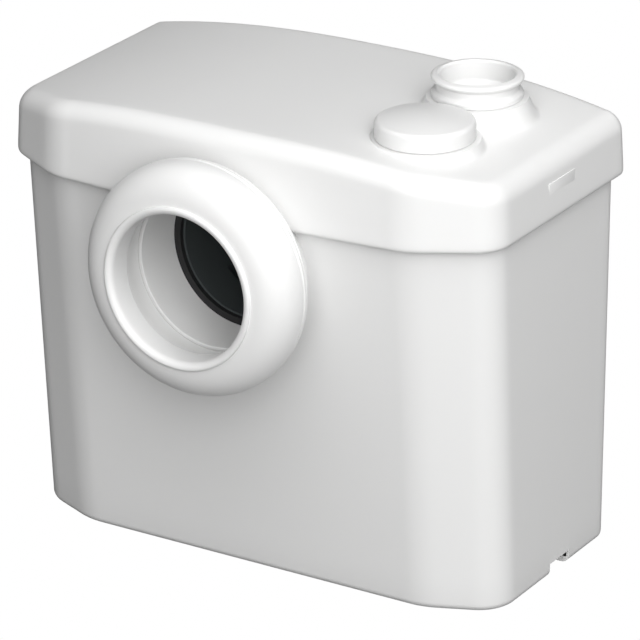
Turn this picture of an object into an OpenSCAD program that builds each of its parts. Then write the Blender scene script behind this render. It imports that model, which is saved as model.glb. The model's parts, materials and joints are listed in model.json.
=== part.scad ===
// Macerator pump: a floor-standing tank behind a toilet, with a grinder, a pump
// and their motor inside, a pan inlet at the front and an outlet on the lid.
// X runs along the case, -Y is the inlet side, Z is up and z = 0 is the floor.

/* [Case] */
// Width over the lid
case_w = 330; // [322:1:345]
// Depth over the lid, without the inlet sleeve
case_d = 182; // [178:1:190]
// Height of the tank's rim
tank_h = 250; // [248:1:262]
// Height of the lid's crown above the tank's rim
crown_h = 32; // [30:1:38]
// How far the lid overhangs the tank all round
lid_overhang = 5; // [4.6:0.1:6.5]
// How far the lid's skirt hangs below the tank's rim
skirt_drop = 19; // [14:1:24]
// Radius of the lid's top edge
lid_edge_r = 11; // [8:0.5:14]
// Wall thickness of the lid
lid_wall = 3.5; // [2.8:0.1:3.8]
// Wall thickness of the tank
tank_wall = 3.5; // [2.8:0.1:4]
// Thickness of the tank's floor
tank_floor = 4; // [3:0.5:5]

/* [Inlet] */
// Height of the inlet's axis
inlet_z = 202; // [201:0.5:205]
// Inner radius of the sleeve's lip, which the pan spigot goes into
lip_r = 44; // [43:0.5:45]
// Greatest radius of the sleeve's bulb
bulb_r = 70; // [68:0.5:73]
// How far the sleeve reaches in front of the lid
sleeve_reach = 50; // [47:0.5:56]
// Thickness of the sleeve's rubber
sleeve_wall = 4.5; // [3.5:0.1:5.5]
// Radius of the tank's inlet boss
boss_r = 53.2; // [53:0.1:54]

/* [Ports on the lid] */
// Distance of both ports from the middle of the case
port_x = 100; // [98:1:103]
// Depth place of the outlet collar
outlet_y = 25; // [24:1:27]
// Depth place of the vent cap
vent_y = -34; // [-37:1:-33]
// Height of the outlet collar above its seat
collar_h = 13.6; // [12:0.2:18]
// Inner radius of the outlet collar
collar_bore_r = 21.8; // [20.5:0.1:22.5]
// Outer radius of the outlet collar's rim
collar_rim_r = 26.9; // [26:0.1:28.5]
// Outer radius of the vent cap
cap_r = 28.9; // [28:0.1:29.8]
// Height of the vent cap at its shoulder
cap_h = 11; // [10.6:0.2:13]

/* [Grinder and pump] */
// Height of the shaft
shaft_z = 112; // [110:1:114]
// Outer radius of the grinder basket
basket_r = 52; // [50:0.5:53]
// Wall of the grinder basket
basket_wall = 2.5; // [2:0.1:3]
// Width of the slots in the basket
slot_w = 4.5; // [3.5:0.1:5.5]
// Number of slots round the lower half of the basket
slot_count = 12; // [8:1:13]
// Radius of the cutter blade
blade_r = 45.5; // [40:0.5:46]
// Radius of the impeller
impeller_r = 27; // [24:0.5:27.5]
// Number of vanes on the impeller
vane_count = 6; // [4:1:7]

/* [Motor] */
// Outer radius of the motor casing
motor_r = 50; // [49:0.5:51]
// Outer radius of the rotor
rotor_r = 24.5; // [23:0.5:25]
// Gap between rotor and stator
air_gap = 0.5; // [0.4:0.1:0.8]
// Number of stator slots
stator_slots = 12; // [8:1:14]
// Number of balls in each bearing
ball_count = 8; // [6:1:9]

/* [Discharge] */
// Inner radius of the discharge path
pipe_r = 10.5; // [9.5:0.1:10.8]
// Radius of the flap's disc
flap_r = 12.5; // [12.3:0.1:12.9]

/* [Pressure switch] */
// Outer radius of the pressure tube
tube_r = 17; // [15:0.5:18]
// Travel of the plunger
plunger_travel = 2; // [1.5:0.1:2]

/* [Hidden] */
$fn = 72;

// Overrun of every cut
cut = 1;
// Gap between fixed pieces that seat in each other
fit = 0.1;
// Gap between pieces that move past each other
gap = 0.3;
// Radial clearance of a running pin or shaft
running = 0.05;

// Outline of the case in plan
half_w = case_w / 2;
half_d = case_d / 2;
front_half = 118;
chamfer_d = 27;
front_bow = 4.6;
side_r = 14;
front_r = 20;
back_r = 11;
least_r = 1;
corner_steps = 4;
mid_count = 9;
side_draft = 0;
back_draft = 4;
front_draft = 21;
chamfer_draft = 6.5;
rim_chamfer_loss = 2;
rim_front_loss = 1.3;
base_round = 5;
base_round_steps = 3;

// Lid
crown_drop = 15;
crown_power = 2.5;
edge_steps = 5;
skirt_draft = 1.2;
bead_h = 6;
bead_in = 0.5;
bead_round = 1.8;
ledge_w = 6.2;
ledge_t = 2.5;
ledge_bond = 1;
gasket_t = 1.7;
gasket_side = 0.6;
skirt_z = tank_h - skirt_drop;
ledge_z = tank_h + gasket_t + gap;
crown_z = tank_h + crown_h;
pad_w = 30;
pad_h = 11.5;
pad_y = 10;
pad_lift = 11;
pad_in = 0.3;

// Tank details
notch_w = 23;
notch_h = 8.6;
notch_depth = 12;
notch_y = 22.5;
notch_wall = 4;
cradle_t = 6;
cradle_side = 8;
cradle_rise = 22;
cushion_t = 3.4;
shelf_t = 5;
shelf_w = 12;
shelf_in = 4;

// Inlet, with places given as distances in front of the middle of the case
arch_gap = 2;
arch_r = boss_r + arch_gap;
boss_back = 1.2;
boss_f = half_d + front_bow - boss_back;
spigot_len = 9;
neck_t = 3.2;
spigot_r = boss_r - neck_t;
spigot_wall = 2.4;
socket_r = spigot_r - spigot_wall;
shoulder_f = 66;
shoulder_t = 4;
seal_t = 3.2;
seal_w = 4.2;
throat_fit = 0.6;
throat_in = 3.4;
throat_r = socket_r - throat_in;
throat_wall = 2.2;
throat_back = 6;
flange_w = 8;
flange_t = 2.5;
lip_f = half_d + sleeve_reach;
lip_t = 4.9;
lip_len = 17;
lip_round = 2.4;
bulb_back = 22;
bulb_f = lip_f - bulb_back;
rear_swell = 9;
rear_rise = 11;
rear_pull = 16;
front_pull = 13;
dome_swell = 15;
rib_count = 4;
rib_depth = 0.6;
curve_steps = 16;

// Grinder, with places along the shaft
basket_x0 = -46;
basket_x1 = 40;
end_plate_t = 3;
chute_half = 34;
chute_front = 40;
chute_back = 3;
slot_l = 34;
slot_web = 5;
slot_step = 11;
blade_x = 10;
blade_t = 3;
blade_hub_r = 11;
blade_hub_l = 10;
blade_tip_w = 9;
blade_root_w = 17;
blade_bend_share = 0.55;
nut_r = 9;
nut_l = 7;
shaft_r = 6;
journal_r = 7.5;
shaft_clear = 1;
shaft_nose = 2;

// Pump, with places along the shaft
plate_t = 3;
suction_r = 33;
suction_wall = 3;
suction_l = 10;
suction_w = 40;
eye_r = 12;
pump_flange_r = 46;
pump_flange_t = 3.5;
pump_w = 18;
pump_back_t = 4;
volute_start = 29.5;
volute_growth = 7;
volute_wall = 3;
volute_steps = 48;
suction_x = basket_x1 + fit;
eye_x = suction_x + plate_t + suction_l;
pump_x = eye_x + plate_t;
pump_back_x = pump_x + pump_w;
motor_x = pump_back_x + pump_back_t + fit;
outlet_rise = 53.5;
duct_r = 10;
duct_wall = 2.8;
duct_in = 0.5;
outlet_wall = 2.8;
valve_x = pump_x + duct_r + duct_in;
shroud_t = 2.5;
vane_h = 8;
vane_t = 2;
vane_turn = 70;
vane_lean = 45;
vane_steps = 8;
hub_r = 9;
seat_r = 12;
impeller_gap = 2;
hub_nose = 2;

// Motor
motor_wall = 3;
motor_front_t = 4;
motor_l = 68;
bell_t = 5;
ear_r = 5;
ear_share = 1.4;
ear_t = 5;
core_l = 30;
core_x = motor_x + 22;
core_back_r = motor_r - motor_wall - gap;
tooth_neck = 3;
slot_depth = 12;
slot_mouth = 2.4;
slot_body = 8;
turn_l = 11;
wire_gap = 0.4;
bar_over = 1;
end_ring_t = 3;
rotor_over = 1;
bundle_share = 0.68;
bearing_r = 17.5;
bearing_w = 11;
ball_r = 2.95;
ball_pitch = 12.5;
ring_t = 3.1;
cage_t = 0.9;
cage_w = 7;
boss_t = 3;

// Discharge
valve_z = shaft_z + outlet_rise;
valve_r = 17.5;
valve_wall = 3;
valve_flange_r = 27.5;
valve_flange_t = 3;
valve_body_h = 26;
valve_dome_h = 20;
valve_roof = 8.5;
valve_seat_z = valve_z + fit + valve_flange_t;
flap_t = 2.4;
pin_r = 1.5;
pin_l = 18;
knuckle_r = 2.6;
knuckle_w = 9;
pin_y = outlet_y + 14;
hose_wall = 3;
hose_grip = 11;
band_t = 1.1;
band_w = 8;
band_gap = 1.5;
valve_top = valve_seat_z + valve_body_h - valve_flange_t;

// Ports
outlet_seat_lift = 3.6;
cap_seat_drop = 3;
cap_recess = 1.6;
outlet_seat_z = crown_z + outlet_seat_lift;
cap_seat_z = crown_z - cap_seat_drop;
port_boss_slope = 4;
port_boss_drop = 12;
port_tube_r = 18;
port_tube_wall = 3;
port_tube_drop = 22;
rim_h = 3.4;
foot_h = 4;
foot_r = 26.6;
collar_neck_r = 24;
collar_floor = 3.2;
spigot_drop = 20;
riser_r = pipe_r + 2;
ring_seal_t = 3;
vent_neck_r = 23;
vent_neck_wall = 2.4;
vent_neck_h = 7.6;
vent_hole_r = 17;
vent_bar_w = 3;
filter_h = 6;
cap_wall = 2.4;
cap_dome = 2.6;
cap_round = 3;
cap_ring_t = 2;

// Control box
box_x0 = -149;
box_w = 90;
box_y0 = -26;
box_d = 86;
box_z = 209.4;
box_h = 42;
box_wall = 2.5;
box_lid_t = 3;
box_screw_in = 5;
box_post_r = 4;
capacitor_r = 13;
capacitor_l = 62;
capacitor_x = -81.5;
block_w = 26;
block_d = 10;
block_h = 12;
gland_x = -84;
gland_z = 219;
gland_r = 9.5;
gland_t = 3;
gland_thread_r = 7.5;

// Pressure switch
switch_x = -117;
switch_y = 20;
tube_wall = 2.5;
tube_lift = 10;
bell_r = 26;
bell_h = 8;
disc_t = 1.2;
cover_t = 4.3;
cover_roof = 0.8;
plunger_foot_r = 8;
plunger_foot_t = 1;
plunger_r = 2.5;
plunger_tip_z = 216;
lever_arm = 20;
lever_reach = 3;
lever_t = 0.6;
lever_w = 4;
lever_pin_r = 0.8;
button_arm = 8;
button_r = 1.4;
button_fit = 0.2;
body_lift = 4;
switch_l = 28;
switch_d = 10;
switch_h = 15;
lug_t = 1.2;
lug_gap = 0.3;

// Screws
screw_r = 2;
screw_head_r = 3.5;
screw_head_t = 2.6;
screw_l = 9;
socket_share = 0.5;

// Colours
white_plastic = "WhiteSmoke";
white_rubber = "Snow";
black_rubber = "#202224";
dark_plastic = "#30363a";
grey_plastic = "Gainsboro";
steel = "Silver";
copper = "#b4693a";
iron = "SlateGray";

// Points of a fillet at v, between the sides to a and b
function unit(v) = v / norm(v);
function corner(a, v, b, r, n) =
    let (u = unit(a - v), w = unit(b - v), half = acos(u * w) / 2,
        turn = 180 - 2 * half, mid = v + unit(u + w) * r / sin(half),
        p = v + u * r / tan(half) - mid, q = v + w * r / tan(half) - mid)
    [for (k = [0 : n]) mid + (sin(turn * (1 - k / n)) * p + sin(turn * k / n) * q) / sin(turn)];

// Corners of the plan, from the back left, along the front, to the back right
// plan = [half width, back, front, chamfer depth, half width of the front, bow]
function plan_corners(p) = [[-p[0], p[1]], [-p[0], p[2] + p[3]], [-p[4], p[2]],
    [p[4], p[2]], [p[0], p[2] + p[3]], [p[0], p[1]]];
function inward(a, b) = let (d = unit(b - a)) [-d.y, d.x];
function inset(c, d) = [for (i = [0 : 5])
    let (v = c[i], m = inward(c[(i + 5) % 6], v), n = inward(v, c[(i + 1) % 6]))
    v + d * (m + n) / (1 + m * n)];

// Points between a and b, pushed towards -Y by a bow
function middle(a, b, bow) = [for (k = [1 : mid_count])
    let (s = k / (mid_count + 1)) a + (b - a) * s - [0, 4 * bow * s * (1 - s)]];

// Outline of the plan, drawn in by d: the front half from left to right, then
// the back half, so that point i of the front lies opposite point n - 1 - i
function outline(plan, d) =
    let (c = inset(plan_corners(plan), d),
        rs = max(side_r - d, least_r), rf = max(front_r - d, least_r),
        rb = max(back_r - d, least_r), n = corner_steps, nb = 2 * corner_steps + 1,
        left = concat(corner(c[0], c[1], c[2], rs, n), corner(c[1], c[2], c[3], rf, n)),
        right = concat(corner(c[2], c[3], c[4], rf, n), corner(c[3], c[4], c[5], rs, n)),
        back = [corner(c[4], c[5], c[0], rb, nb), corner(c[5], c[0], c[1], rb, nb)])
    concat(left, middle(left[len(left) - 1], right[0], plan[5]), right,
        back[0], middle(back[0][nb], back[1][0], 0), back[1]);

lid_plan = [half_w, half_d, -half_d, chamfer_d, front_half, front_bow];
rim_plan = lid_plan - [lid_overhang, lid_overhang, -lid_overhang, rim_chamfer_loss,
    rim_front_loss, 0];
base_plan = rim_plan - [side_draft, back_draft, -front_draft, chamfer_draft, 0, front_bow];
function tank_plan(z) = base_plan + (rim_plan - base_plan) * z / tank_h;
function tank_ring(z, d) = [for (p = outline(tank_plan(z), d)) [p.x, p.y, z]];

// Height of the lid's top, which falls towards both ends
function crown(p) = crown_z - crown_drop * pow(abs(p.x) / half_w, crown_power);
function level_ring(z, d) = [for (p = outline(lid_plan, d)) [p.x, p.y, z]];
function crown_ring(d, drop) = [for (p = outline(lid_plan, d)) [p.x, p.y, crown(p) - drop]];
function edge_rings(r, d, drop) = [for (k = [0 : edge_steps])
    let (a = 90 * k / edge_steps) crown_ring(d + r * (1 - cos(a)), drop - r * sin(a))];

// A closed skin through rings of equal length, with strips across its ends
module loft(rings) {
    n = len(rings[0]);
    top = (len(rings) - 1) * n;
    polyhedron(points = [for (r = rings) each r], faces = concat(
        [for (r = [0 : len(rings) - 2], i = [0 : n - 1])
            let (a = r * n + i, b = r * n + (i + 1) % n) each [[a, a + n, b + n], [a, b + n, b]]],
        [for (i = [0 : n / 2 - 2]) each [[i, i + 1, n - 2 - i], [i, n - 2 - i, n - 1 - i]]],
        [for (i = [0 : n / 2 - 2])
            let (a = top + i, b = top + n - 1 - i) each [[b, b - 1, a + 1], [b, a + 1, a]]]));
}

// Points of a cubic curve
function cubic(a, b, c, d, n) = [for (k = [0 : n]) let (t = k / n, s = 1 - t)
    s * s * s * a + 3 * s * s * t * b + 3 * s * t * t * c + t * t * t * d];

module ring(outer, inner, h) {
    difference() {
        cylinder(r = outer, h = h);
        translate([0, 0, -cut]) cylinder(r = inner, h = h + 2 * cut);
    }
}

// Places outlines drawn in Y and Z along the shaft, from x onwards
module on_shaft(x) {
    translate([x, 0, shaft_z]) rotate([90, 0, 90]) children();
}

// Places a turned piece on the inlet's axis, from f in front of the middle
module on_inlet(f) {
    translate([0, -f, inlet_z]) rotate([90, 0, 0]) children();
}

module at_outlet(z) {
    translate([port_x, outlet_y, z]) children();
}

module at_vent(z) {
    translate([port_x, vent_y, z]) children();
}

module at_valve(z) {
    translate([valve_x, outlet_y, z]) children();
}

module at_switch(z) {
    translate([switch_x, switch_y, z]) children();
}

// A socket screw that points along -Z, with its head's seat at z = 0
module screw(length) {
    difference() {
        cylinder(r = screw_head_r, h = screw_head_t);
        translate([0, 0, screw_head_t * socket_share])
            cylinder(r = screw_head_r * socket_share, h = screw_head_t, $fn = 6);
    }
    translate([0, 0, -length]) cylinder(r = screw_r, h = length + fit);
}

// Copies children round an axis at a radius
module around(count, r, start = 0) {
    for (i = [0 : count - 1]) rotate(start + 360 * i / count) translate([r, 0, 0]) children();
}

// Feet of the motor, pump and basket: [middle along the shaft, radius carried]
saddles = [
    [basket_x0 + 2 * cradle_t, basket_r],
    [pump_x, pump_flange_r],
    [motor_x + 2 * cradle_t, motor_r],
    [motor_x + motor_l - 3 * cradle_t, motor_r]];

module cradle(x, r) {
    seat = r + cushion_t + fit;
    top = shaft_z - r + cradle_rise;
    difference() {
        translate([x - cradle_t / 2, -seat * sin(60), tank_floor - fit])
            cube([cradle_t, 2 * seat * sin(60), top - tank_floor + fit]);
        on_shaft(x - cradle_t) cylinder(r = seat, h = 2 * cradle_t);
    }
}

module cushion(x, r) {
    intersection() {
        on_shaft(x - cradle_t / 2) ring(r + cushion_t, r + fit, cradle_t);
        translate([x - cradle_t, -r * sin(60), 0])
            cube([2 * cradle_t, 2 * r * sin(60), shaft_z - r + cradle_rise]);
    }
}

module tank() {
    color(white_plastic)
    difference() {
        union() {
            difference() {
                loft(concat(
                    [for (k = [0 : base_round_steps])
                        let (a = 90 - 90 * k / base_round_steps)
                        tank_ring(base_round * (1 - sin(a)), base_round * (1 - cos(a)))],
                    [tank_ring(tank_h, 0)]));
                loft([tank_ring(tank_floor, tank_wall + base_round / 2),
                    tank_ring(tank_floor + base_round / 2, tank_wall),
                    tank_ring(tank_h + cut, tank_wall)]);
            }
            tank_boss();
            for (s = saddles) cradle(s[0], s[1]);
            for (s = [-1, 1]) notch_pad(s);
            box_shelf();
        }
        on_inlet(shoulder_f) cylinder(r = socket_r, h = lip_f);
        on_inlet(shoulder_f - shoulder_t - cut)
            cylinder(r = throat_r + throat_fit, h = shoulder_t + 2 * cut);
        throat_screw_places(shoulder_f - shoulder_t - cut)
            cylinder(r = screw_r + fit / 2, h = shoulder_t + cut - least_r / 4);
        for (s = [-1, 1]) notch(s);
        gland_place(half_d) cylinder(r = gland_thread_r + fit, h = half_d - box_y0 - box_d);
    }
}

module tank_boss() {
    on_inlet(shoulder_f - shoulder_t) cylinder(r = boss_r, h = boss_f - shoulder_f + shoulder_t);
    on_inlet(boss_f - fit) cylinder(r = spigot_r, h = spigot_len + fit);
}

// Notches for the floor brackets, in the base of both ends
module notch(side) {
    translate([side * half_w, notch_y, 0])
        cube([2 * (lid_overhang + side_draft + notch_depth), notch_w, 2 * notch_h], center = true);
}

module notch_pad(side) {
    x = half_w - lid_overhang - side_draft - tank_wall / 2;
    translate([side > 0 ? x - notch_depth - notch_wall : -x,
        notch_y - notch_w / 2 - notch_wall, tank_floor - fit])
        cube([notch_depth + notch_wall, notch_w + 2 * notch_wall,
            notch_h + notch_wall - tank_floor]);
}

// Ledges on the back and left walls, which carry the control box
module box_shelf() {
    back = half_d - lid_overhang - tank_wall / 2;
    left = -half_w + lid_overhang + tank_wall / 2;
    intersection() {
        union() {
            translate([box_x0, box_y0 + box_d - shelf_w, box_z - shelf_t])
                cube([box_w, back - box_y0 - box_d + shelf_w, shelf_t]);
            translate([left, box_y0, box_z - shelf_t])
                cube([box_x0 + shelf_in - left, box_d, shelf_t]);
        }
        loft([tank_ring(tank_floor, tank_wall / 2), tank_ring(tank_h, tank_wall / 2)]);
    }
}

module lid() {
    color(white_plastic)
    difference() {
        union() {
            difference() {
                lid_skin();
                loft(concat([level_ring(skirt_z - cut, lid_wall + skirt_draft)],
                    edge_rings(lid_edge_r - lid_wall, lid_wall + skirt_draft, lid_edge_r)));
            }
            translate([0, 0, ledge_z]) linear_extrude(ledge_t) difference() {
                polygon(outline(lid_plan, lid_wall + skirt_draft - ledge_bond));
                polygon(outline(lid_plan, lid_wall + ledge_w));
            }
            at_outlet(0) port_boss(foot_r + port_tube_wall, port_tube_r - fit, outlet_seat_z);
            at_outlet(outlet_seat_z - port_tube_drop)
                ring(port_tube_r + port_tube_wall, port_tube_r, port_tube_drop);
            at_vent(0) port_boss(cap_r + port_tube_wall, vent_hole_r, cap_seat_z);
            side_pad();
        }
        on_inlet(shoulder_f - throat_back) cylinder(r = arch_r, h = lip_f);
        at_outlet(outlet_seat_z - port_tube_drop - cut)
            cylinder(r = port_tube_r, h = port_tube_drop + port_boss_drop);
        at_outlet(outlet_seat_z) cylinder(r = foot_r + lid_wall, h = port_boss_drop);
        at_vent(cap_seat_z) cylinder(r = cap_r + cap_recess, h = port_boss_drop);
        at_vent(cap_seat_z - port_boss_drop) cylinder(r = vent_hole_r, h = 2 * port_boss_drop);
    }
    color(white_plastic) vent_neck();
}

module lid_skin() {
    loft(concat(
        [level_ring(skirt_z, bead_round), level_ring(skirt_z + bead_round / 2, bead_in),
            level_ring(skirt_z + bead_round, 0), level_ring(skirt_z + bead_h / 2, 0),
            level_ring(skirt_z + bead_h, bead_in)],
        edge_rings(lid_edge_r, skirt_draft, lid_edge_r)));
}

// Raised round seat that grows out of the crown, open below its top plate
module port_boss(r, hole, z) {
    rotate_extrude() polygon([[hole, z], [r, z], [r + least_r, z - least_r],
        [r + port_boss_slope, z - port_boss_drop], [r + port_boss_slope - lid_wall, z - port_boss_drop],
        [r - lid_wall, z - lid_wall], [hole, z - lid_wall]]);
}

// Low bare panel on the right side of the skirt
module side_pad() {
    translate([half_w - pad_in - 2 * ledge_bond, pad_y - pad_w / 2, skirt_z + pad_lift])
        cube([2 * ledge_bond, pad_w, pad_h]);
}

module vent_neck() {
    at_vent(cap_seat_z - fit)
        ring(vent_neck_r, vent_neck_r - vent_neck_wall, vent_neck_h + fit);
    for (a = [0, 90]) at_vent(cap_seat_z - lid_wall) rotate(a)
        translate([-vent_hole_r - fit, -vent_bar_w / 2, 0])
        cube([2 * (vent_hole_r + fit), vent_bar_w, lid_wall - fit]);
}

module lid_gasket() {
    color(black_rubber)
    difference() {
        union() {
            translate([0, 0, tank_h]) linear_extrude(gasket_t) difference() {
                polygon(outline(rim_plan, -fit));
                polygon(outline(rim_plan, tank_wall + gasket_side));
            }
            intersection() {
                on_inlet(half_d - lid_overhang) cylinder(r = arch_r - gap, h = lid_overhang);
                translate([-half_w, -case_d, tank_h]) cube([case_w, case_d, crown_h]);
            }
        }
        on_inlet(0) cylinder(r = boss_r + fit, h = lip_f);
    }
}

// Outer and inner profile of the sleeve, as [radius, place in front]
function ribbed(points) = [for (k = [0 : len(points) - 1])
    let (s = k / (len(points) - 1))
    points[k] + [rib_depth * sin(180 * s) * sin(360 * rib_count * s), 0]];
neck_f = boss_f + fit;
mouth_f = boss_f + spigot_len;
rear = ribbed(cubic([boss_r, neck_f + neck_t], [boss_r + rear_swell, neck_f + rear_rise],
    [bulb_r, bulb_f - rear_pull], [bulb_r, bulb_f], 3 * curve_steps));
dome = cubic([bulb_r, bulb_f], [bulb_r, bulb_f + front_pull], [lip_r + dome_swell, lip_f - lip_round],
    [lip_r + lip_t, lip_f - lip_round], curve_steps);
lip = cubic([lip_r + lip_t, lip_f - lip_round / 2], [lip_r + lip_t, lip_f + lip_round / 4],
    [lip_r, lip_f + lip_round / 4], [lip_r, lip_f - 2 * lip_round], curve_steps);
inner_r = bulb_r - sleeve_wall;
hollow = cubic([lip_r + 2 * lip_round, lip_f - lip_len - lip_round],
    [inner_r, lip_f - lip_len - lip_round], [inner_r, bulb_f - rear_pull],
    [spigot_r + neck_t, mouth_f + fit], curve_steps);

module inlet_sleeve() {
    color(white_rubber)
    on_inlet(0) rotate_extrude() polygon(concat(
        [[boss_r, neck_f]], rear, dome, lip,
        [[lip_r, lip_f - lip_len], [lip_r + lip_round, lip_f - lip_len - lip_round]],
        hollow, [[spigot_r + fit, mouth_f], [spigot_r + fit, neck_f]]));
}

module inlet_seal_ring() {
    color(black_rubber)
    on_inlet(shoulder_f + fit) rotate_extrude()
        translate([socket_r - fit - seal_w, 0]) square([seal_w, seal_t]);
}

// Front tube and chute of the basket, closed at the back, open below
module basket_throat() {
    front = shoulder_f + fit;
    tube_l = front + throat_back;
    color(dark_plastic)
    difference() {
        union() {
            on_inlet(-throat_back) cylinder(r = throat_r, h = tube_l);
            on_inlet(shoulder_f - shoulder_t - fit - flange_t)
                cylinder(r = throat_r + flange_w, h = flange_t);
            translate([-chute_half, -chute_front, shaft_z])
                cube([2 * chute_half, chute_front + chute_back, inlet_z - shaft_z]);
        }
        on_inlet(-throat_back + throat_wall) cylinder(r = throat_r - throat_wall, h = tube_l);
        throat_screw_places(shoulder_f - shoulder_t - 2 * flange_t)
            cylinder(r = screw_r + fit / 2, h = 2 * flange_t);
        translate([throat_wall - chute_half, throat_wall - chute_front, shaft_z - cut])
            cube([2 * (chute_half - throat_wall), chute_front + chute_back - 2 * throat_wall,
                inlet_z - shaft_z]);
        on_shaft(basket_x0 - cut)
            cylinder(r = basket_r + fit, h = basket_x1 - basket_x0 + 2 * cut);
    }
}

module grinder_basket() {
    l = basket_x1 - basket_x0 - end_plate_t;
    row = slot_l + slot_web;
    color(dark_plastic)
    difference() {
        on_shaft(basket_x0 + end_plate_t) ring(basket_r, basket_r - basket_wall, l);
        translate([throat_wall - chute_half, throat_wall - chute_front, shaft_z])
            cube([2 * (chute_half - throat_wall), chute_front + chute_back - 2 * throat_wall,
                2 * basket_r]);
        for (i = [0 : slot_count - 1], j = [0, 1])
            on_shaft(basket_x0 + end_plate_t + slot_web + j * row)
                rotate(-90 + slot_step * (i - (slot_count - 1) / 2))
                translate([basket_r / 2, -slot_w / 2, 0]) cube([basket_r, slot_w, slot_l]);
    }
}

module basket_end_plate() {
    color(dark_plastic)
    on_shaft(basket_x0) {
        cylinder(r = basket_r, h = end_plate_t - fit);
        ring(basket_r - basket_wall - fit, basket_r - 2 * basket_wall - fit, 2 * end_plate_t);
    }
}

module throat_screw_places(f) {
    on_inlet(f) around(4, throat_r + flange_w / 2, 45) children();
}

// Screws that hold the throat's flange against the shoulder of the boss
module basket_screws() {
    color(steel)
    throat_screw_places(shoulder_f - shoulder_t - 2 * fit - flange_t)
        rotate([180, 0, 0]) screw(flange_t + shoulder_t - least_r / 2);
}

// Two-armed blade with swept arms, on its hub
module cutter_blade() {
    arm = [[0, blade_root_w / 2], [blade_r * blade_bend_share, blade_root_w / 2 + basket_wall],
        [blade_r - least_r, blade_tip_w / 2 + 2 * basket_wall], [blade_r, basket_wall],
        [blade_r * blade_bend_share, -blade_root_w / 4], [0, -blade_root_w / 2]];
    color(steel)
    on_shaft(blade_x) difference() {
        union() {
            for (a = [0, 180]) rotate(a) linear_extrude(blade_t) polygon(arm);
            translate([0, 0, -blade_t]) cylinder(r = blade_hub_r, h = blade_hub_l);
            for (a = [0, 180]) rotate(a)
                translate([blade_r - blade_tip_w, 0, -blade_tip_w])
                cube([blade_tip_w / 2, blade_tip_w, blade_tip_w + blade_t]);
        }
        translate([0, 0, -blade_hub_l]) cylinder(r = shaft_r + fit / 4, h = 3 * blade_hub_l);
    }
}

module blade_nut() {
    x = blade_x - blade_t - nut_l - fit;
    color(steel)
    on_shaft(x) difference() {
        cylinder(r = nut_r, h = nut_l, $fn = 6);
        translate([0, 0, -cut]) cylinder(r = shaft_r + fit / 4, h = nut_l + 2 * cut);
    }
}

// Plate that closes the basket, suction chamber and eye plate in one moulding
module suction_cover() {
    color(dark_plastic)
    on_shaft(suction_x) difference() {
        union() {
            cylinder(r = basket_r, h = plate_t);
            cylinder(r = suction_r, h = plate_t + suction_l);
            translate([0, 0, plate_t + suction_l - fit])
                cylinder(r = pump_flange_r, h = plate_t);
        }
        translate([0, 0, plate_t]) difference() {
            cylinder(r = suction_r - suction_wall, h = suction_l - fit);
            translate([-suction_r, suction_r / 2, -cut])
                cube([2 * suction_r, suction_r, suction_l + 2 * cut]);
        }
        translate([-suction_w / 2, -suction_r - cut, plate_t])
            cube([suction_w, suction_r / 2, suction_l - fit]);
        translate([0, 0, -cut]) cylinder(r = shaft_r + shaft_clear, h = plate_t + 2 * cut);
        translate([0, 0, plate_t + suction_l / 2]) cylinder(r = eye_r, h = suction_l);
        translate([0, 0, plate_t + suction_l / 2]) around(6, pump_flange_r - screw_head_r, 30)
            cylinder(r = screw_r + fit, h = suction_l);
    }
}

// Spiral that widens with the angle
function volute(extra) = [for (k = [0 : volute_steps - 1])
    let (a = 360 * k / volute_steps, r = volute_start + volute_growth * k / volute_steps + extra)
    r * [-sin(a), cos(a)]];

module pump_casing() {
    color(dark_plastic)
    difference() {
        union() {
            on_shaft(pump_x) cylinder(r = pump_flange_r, h = pump_flange_t);
            on_shaft(pump_x) linear_extrude(pump_w + pump_back_t) polygon(volute(volute_wall));
            at_valve(shaft_z) cylinder(r = duct_r, h = outlet_rise);
            at_valve(valve_z - valve_flange_t) cylinder(r = valve_r + fit, h = valve_flange_t);
        }
        on_shaft(pump_x - cut) linear_extrude(pump_w + cut) polygon(volute(0));
        at_valve(shaft_z) cylinder(r = duct_r - duct_wall, h = outlet_rise + cut);
        on_shaft(pump_back_x - cut) cylinder(r = seat_r, h = pump_back_t + 2 * cut);
        on_shaft(pump_x - cut) around(6, pump_flange_r - screw_head_r, 30)
            cylinder(r = screw_r + fit, h = pump_flange_t + 2 * cut);
    }
}

module pump_screws() {
    color(steel)
    on_shaft(eye_x - 2 * fit) around(6, pump_flange_r - screw_head_r, 30)
        rotate([180, 0, 0]) screw(plate_t + pump_flange_t);
}

// Back shroud, hub and curved vanes
module impeller() {
    color(dark_plastic)
    on_shaft(pump_x + impeller_gap) difference() {
        union() {
            translate([0, 0, vane_h]) cylinder(r = impeller_r, h = shroud_t);
            cylinder(r = hub_r, h = vane_h + shroud_t + hub_nose);
            for (i = [0 : vane_count - 1]) rotate(360 * i / vane_count)
                linear_extrude(vane_h + fit) polygon(vane());
        }
        translate([0, 0, -cut]) cylinder(r = shaft_r + fit / 4, h = 2 * (vane_h + shroud_t));
    }
}
function vane_point(s, side) =
    let (r = hub_r - fit + (impeller_r - least_r - hub_r) * s, a = vane_turn * s)
    r * [cos(a), sin(a)] + side * vane_t / 2 * [-sin(a + vane_lean), cos(a + vane_lean)];
function vane() = concat([for (k = [0 : vane_steps]) vane_point(k / vane_steps, 1)],
    [for (k = [vane_steps : -1 : 0]) vane_point(k / vane_steps, -1)]);

module seal_seat() {
    color("Ivory")
    on_shaft(pump_back_x + fit) ring(seat_r - fit, journal_r, pump_back_t - 2 * fit);
}

module seal_rotating_face() {
    l = pump_w - impeller_gap - vane_h - shroud_t - hub_nose;
    color("DimGray")
    on_shaft(pump_back_x - l + fit) ring(hub_r + hub_nose, shaft_r + fit / 4, l - fit);
}

ear_angles = [45, 135, 225, 315];

ear_hole_r = motor_r + ear_r / 2;

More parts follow.
